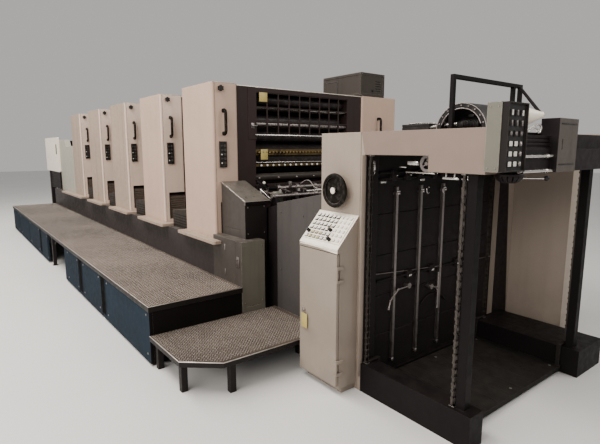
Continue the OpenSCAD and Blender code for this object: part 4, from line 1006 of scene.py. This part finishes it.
parts = []
for k in range(4):
    y = 0.12 + (k - 1.5) * 0.24
    parts.append(slab((4.0298, y - 0.016, 1.215), (4.0385, y + 0.016, 1.222), 0.001))
    parts += planted(hex_bolt(0.012, 0.006), [(4.0365, y, 1.206)], TO_DELIVERY)
    parts.append(slab((4.012, y - 0.013, 0.098), (4.034, y + 0.013, 0.118), 0.002))
for y, z in ((0.06, 1.21), (0.235, 1.203)):
    turns = (0.9, 1.6, 2.4, 3.14, 3.9, 4.7, 5.4)
    parts.append(bent([(4.034, y + 0.016 * math.cos(a), z + 0.022 * math.sin(a)) for a in turns], 0.007))
assemble("stop_clips", parts, steel_bright)

# dark fittings behind the pile: pipes, a cross bar and its carriages, with their bright parts
CORE_X = 4.010
VALVES = (-0.30, -0.17, -0.05, 0.10, 0.19, 0.36, 0.55, 0.70)
CARRIAGES = (-0.12, 0.12, 0.42)
parts = [rod((CORE_X + 0.008, -0.40, z), (CORE_X + 0.008, 0.88, z), 0.016, 12) for z in (1.30, 1.335, 0.66)]
for y in VALVES:
    parts.append(slab((CORE_X - 0.001, y, 1.285), (CORE_X + 0.03, y + 0.045, 1.352), 0.003))
    parts.append(rod((CORE_X + 0.028, y + 0.022, 1.32), (CORE_X + 0.042, y + 0.022, 1.32), 0.02, 12))
for y in CARRIAGES:
    parts.append(slab((CORE_X - 0.001, y, 0.635), (CORE_X + 0.024, y + 0.05, 0.69), 0.003))
path = [(0.006, 0.05, 0.42), (0.012, 0.12, 0.47), (0.012, 0.25, 0.46), (0.008, 0.33, 0.40)]
parts.append(bent([(CORE_X + dx, y, z) for dx, y, z in path], 0.010))
assemble("core_fittings", parts, dark)
parts = [
    rod((CORE_X + 0.041, y + 0.022, 1.32), (CORE_X + 0.047, y + 0.022, 1.32), 0.011, 12)
    for y in VALVES
]
parts += [
    slab((CORE_X + 0.024, y + 0.012, 0.65), (CORE_X + 0.029, y + 0.038, 0.664), 0.001)
    for y in CARRIAGES
]
parts += [
    slab((CORE_X + 0.03, y - 0.024, 1.277), (CORE_X + 0.042, y + 0.024, 1.291), 0.002)
    for y in (-0.395, -0.025, 0.26, 0.50)
]
parts.append(slab((4.058, -0.510, 1.358), (4.079, -0.495, 1.412), 0.002))
hook = [(4.068, 1.358), (4.076, 1.346), (4.068, 1.336), (4.060, 1.346), (4.068, 1.358)]
parts.append(bent([(x, -0.50, z) for x, z in hook], 0.004))
parts.append(slab((4.262, -0.442, 1.392), (4.334, -0.428, 1.414), 0.003))
parts.append(rod((4.25, -0.434, 1.352), (4.44, -0.434, 1.352), 0.011, 12))
parts.append(slab((4.20, -0.436, 1.376), (4.25, -0.430, 1.382), 0.001))
assemble("core_bright_parts", parts, steel_bright)

path = [(0.008, -0.43, 0.712), (0.010, -0.08, 0.686), (0.010, 0.367, 0.658), (0.008, 0.90, 0.640)]
assemble("core_pipe", [bent([(CORE_X + dx, y, z) for dx, y, z in path], 0.007)], steel_dull)

# chain wheel behind the operator's side frame
rim = [
    (0.030, 0.004), (0.046, 0.004), (0.048, 0.002), (0.048, -0.002), (0.046, -0.004),
    (0.030, -0.004), (0.030, 0.004),
]
boss = [(0, 0.010), (0.010, 0.010), (0.012, 0.006), (0.012, -0.010), (0, -0.010)]
wheel_at = Vector((4.39, -0.432, 1.402))
parts = [turned(rim, wheel_at, TO_OPERATOR), turned(boss, wheel_at, TO_OPERATOR, 20)]
for k in range(3):
    a = math.radians(90 + k * 120)
    reach = Vector((math.cos(a), 0, math.sin(a)))
    parts.append(rod(wheel_at + reach * 0.008, wheel_at + reach * 0.034, 0.009, 12))
assemble("chain_wheel", parts, steel_dull)

# ---- on top of the delivery ----

COWL_X, COWL_Z = 4.57, 1.56


def round_cowl(radius, y, degrees):
    """Points on the cowl's side at some radius and angles."""
    turns = [math.radians(a) for a in degrees]
    return [(COWL_X + radius * math.cos(a), y, COWL_Z + radius * math.sin(a)) for a in turns]


spots = round_cowl(0.132, -0.42, [20 + k * 17.5 for k in range(9)])
assemble("cowl_screws", planted(screw_head(0.009, 0.003), spots, TO_OPERATOR), steel_dull)
parts = []
for radius, thick, first, last in ((0.1425, 0.005, 4, 176), (0.118, 0.006, 20, 160)):
    turns = [first + k * (last - first) / 14 for k in range(15)]
    parts.append(bent(round_cowl(radius, -0.4205, turns), thick))
assemble("cowl_rims", parts, steel_dull)
parts = [
    bent([(4.30, -0.405, 1.578), (4.38, -0.40, 1.59), (4.46, -0.385, 1.602), (4.52, -0.37, 1.606)], 0.022),
    rod((4.46, -0.385, 1.603), (4.50, -0.378, 1.606), 0.03, 20, 0.003),
    bent([(4.235, -0.405, 1.615), (4.30, -0.40, 1.618), (4.40, -0.395, 1.612)], 0.008),
]
assemble("silver_tube", parts, steel_bright)
fin = [(0.020, 0.0), (0.0385, 0.0), (0.0385, 0.003), (0.020, 0.003), (0.020, 0.0)]
fins = [turned(fin, (4.562 + k * 0.0085, -0.35, 1.602), TO_DELIVERY, 24) for k in range(9)]
fins.append(slab((4.58, -0.372, 1.637), (4.61, -0.328, 1.652), 0.002))
assemble("motor_fins", fins, black)
path = [(4.645, -0.35, 1.615), (4.67, -0.345, 1.63), (4.695, -0.35, 1.60), (4.70, -0.34, 1.565)]
parts = [bent(path, 0.012), slab((4.66, -0.335, 1.559), (4.72, -0.30, 1.575), 0.003)]
assemble("motor_end_parts", parts, steel_bright)

# ---- motor box and lamp ----

SCREW_IN = 0.012
motor_low, motor_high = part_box("motor_box")
corner_x = (motor_low.x + SCREW_IN, motor_high.x - SCREW_IN)
corner_y = (motor_low.y + SCREW_IN, motor_high.y - SCREW_IN)
corner_z = (motor_low.z + SCREW_IN, motor_high.z - SCREW_IN)
heads = planted(screw_head(0.010, 0.003), grid([motor_high.x], corner_y, corner_z), TO_DELIVERY)
heads += planted(screw_head(0.010, 0.003), grid(corner_x, [motor_low.y], corner_z), TO_OPERATOR)
assemble("motor_box_screws", heads, steel_dull)

knob = [(0, 0.010), (0.010, 0.010), (0.012, 0.007), (0.012, 0.0), (0, 0)]
knob_at = (motor_high.x - 0.003, 1.115, 2.07)
assemble("motor_box_knob", [turned(knob, knob_at, TO_DELIVERY, 16)], black)
seam_y = motor_low.y - 0.001
panel = [slab((2.145, seam_y, 2.05), (2.150, seam_y + 0.005, 2.185), 0.001)]
panel.append(slab((1.95, seam_y, 2.180), (2.150, seam_y + 0.005, 2.185), 0.001))
assemble("motor_box_seams", panel, side_grey)

tint("overhead_frame", ivory, (4.77, -0.31, 1.56), (4.90, -0.13, 1.72))
bulb = [
    (0, 0.045), (0.012, 0.043), (0.020, 0.034), (0.022, 0.022), (0.017, 0.010), (0.012, 0.0), (0, 0),
]
assemble("lamp_bulb", [turned(bulb, (4.812, -0.227, 1.634), (-0.61, -0.79, -0.1), 20)], white)

# ---- feeder and infeed ----

SUCKER_Y = [0.24 + k * 0.108 for k in range(-2, 3)]
head_low, head_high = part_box("feeder_head")
cup = [
    (0, 0.02), (0.009, 0.02), (0.010, 0.014), (0.013, 0.009), (0.011, 0.006), (0.017, 0.0),
    (0.006, 0.003), (0, 0.004),
]
spots = grid([-4.23], SUCKER_Y, [head_low.z - 0.006])
assemble("suckers", planted(turned(cup, steps=20), spots), rubber)
path = [(-4.23, 0.014, 1.37), (-4.19, 0.03, 1.44), (-4.18, 0.02, 1.53), (-4.24, 0, 1.585), (-4.33, 0, 1.575)]
pipes = [bent([(x, y + dy, z) for x, dy, z in path], 0.011) for y in SUCKER_Y]
assemble("sucker_pipes", pipes, black)
parts = []
for y, side in ((head_low.y, -1), (head_high.y, 1)):
    spots = [(-4.49 + k * 0.07, y, 1.46) for k in range(4)]
    parts += planted(hex_bolt(0.014, 0.006), spots, (0, side, 0))
assemble("head_bolts", parts, steel_bright)

side_low, side_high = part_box("feeder_side_panels")
parts, buttons = [], []
for y, side in ((side_low.y, -1), (side_high.y, 1)):
    parts.append(slab((-3.88, y - 0.004, 1.38), (-3.80, y + 0.004, 1.56), 0.002))
    for z in [1.41 + k * 0.04 for k in range(4)]:
        buttons.append(rod((-3.84, y, z), (-3.84, y + side * 0.010, z), 0.022, 20, 0.002))
assemble("feeder_button_plates", parts, black)
assemble("feeder_buttons", buttons, tan)
tint("infeed_cover", dark, (-3.69, -0.59, 1.0), (-2.53, 1.07, 1.36))
path = [(-2.62, -0.60, 1.516), (-2.62, -0.60, 1.555), (-2.62, -0.52, 1.555), (-2.62, -0.52, 1.516)]
assemble("infeed_rail", [bent(path, 0.012, smooth=False)], steel_dull)

# ---- finishes inside the units and the delivery ----

for x in FACES:
    tint("roller_train", grey, (x - 0.11, WINDOW[0] + 0.004, 1.19), (x - 0.02, WINDOW[1] - 0.004, 1.27))
    for z in (1.83, 1.692):
        tint("roller_train", chain, (x - 0.12, -0.31, z - 0.028), (x - 0.04, 0.80, z + 0.028))
    tint("unit_controls", bronze, (x + 0.0185, -0.70, 1.30), (x + 0.03, -0.58, 1.60))
# painted shade: the inner face of the operator's side column is tinted dark, with a beige strip kept along
# its front edge
tint("delivery_operator_frame", dark, (4.045, -0.56, 0.0), (4.055, -0.43, 1.45))
edge = slab((4.0485, -0.578, 0.10), (4.0512, -0.543, 1.444), 0.0006)
assemble("column_edge", [edge], beige)
# the beam of the operator's side frame takes the darker enamel, as painted shade
tint("delivery_operator_frame", beam_painted_shade, (4.06, -0.60, 1.30), (4.81, -0.43, 1.58))
lenses = [
    rod((x + 0.0165, -0.650, z), (x + 0.0225, -0.650, z), 0.011, 16, 0.001)
    for x in FACES for z in (1.3642, 1.4345)
]
assemble("strip_lamps", lenses, white)

# painted light on the end faces of the first four units' covers, painted shade on the near sides of the
# first three, and the louvred ends of the bodies
for n, x in enumerate(FACES, 1):
    if n < 4:
        tint(f"unit_{n}_covers", cream_painted_shade, (x - 0.9, OP_Y - 0.03, 0.6), (x + 0.1, OP_Y + 0.006, 2.02))
    if n < 5:
        tint(f"unit_{n}_covers", cream_painted_light, (x - 0.012, -0.76, 0.7), (x + 0.019, -0.45, 2.05))
    tint(f"unit_{n}_body", louvre, (x - 0.20, -0.72, 0.72), (x - 0.012, -0.49, 1.45))
tint("transfer_guards", guard_brown, (-3.0, -0.70, 0.60), (3.0, -0.45, 1.1))
# a dark strip across the top of each louvre opening is painted shade; the rows after it are the guards'
# louvre slots
slots = [slab((x - 0.035, -0.655, 1.015), (x - 0.014, -0.490, 1.039), 0.001) for x in FACES]
slots += [
    slab((x + 0.15, -0.6872, z), (x + 0.51, -0.680, z + 0.009), 0.0008, 1)
    for x in FACES[:4] for z in [0.738 + k * 0.026 for k in range(5)]
]
assemble("louvre_slots", slots, soot)
# painted shade: the inner face of the drive side column is tinted dark
tint("delivery_drive_frame", dark, (4.045, 0.91, 0.0), (4.055, 1.05, 1.45))

# ---- drive side ----

drive_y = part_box("delivery_drive_frame")[1].y
parts = []
for x in (3.705, 4.11):
    parts += [hinge(x + 0.004, drive_y + 0.003, z, 0.08) for z in (0.35, 1.10)]
    parts.append(slab((x + 0.29, drive_y - 0.001, 0.74), (x + 0.32, drive_y + 0.004, 0.86), 0.002))
    parts.append(rod((x + 0.305, drive_y + 0.003, 0.83), (x + 0.305, drive_y + 0.011, 0.83), 0.02, 20))
    parts.append(slab((x + 0.299, drive_y + 0.004, 0.76), (x + 0.311, drive_y + 0.014, 0.815), 0.003))
assemble("drive_cabinet_fittings", parts, steel_dull)
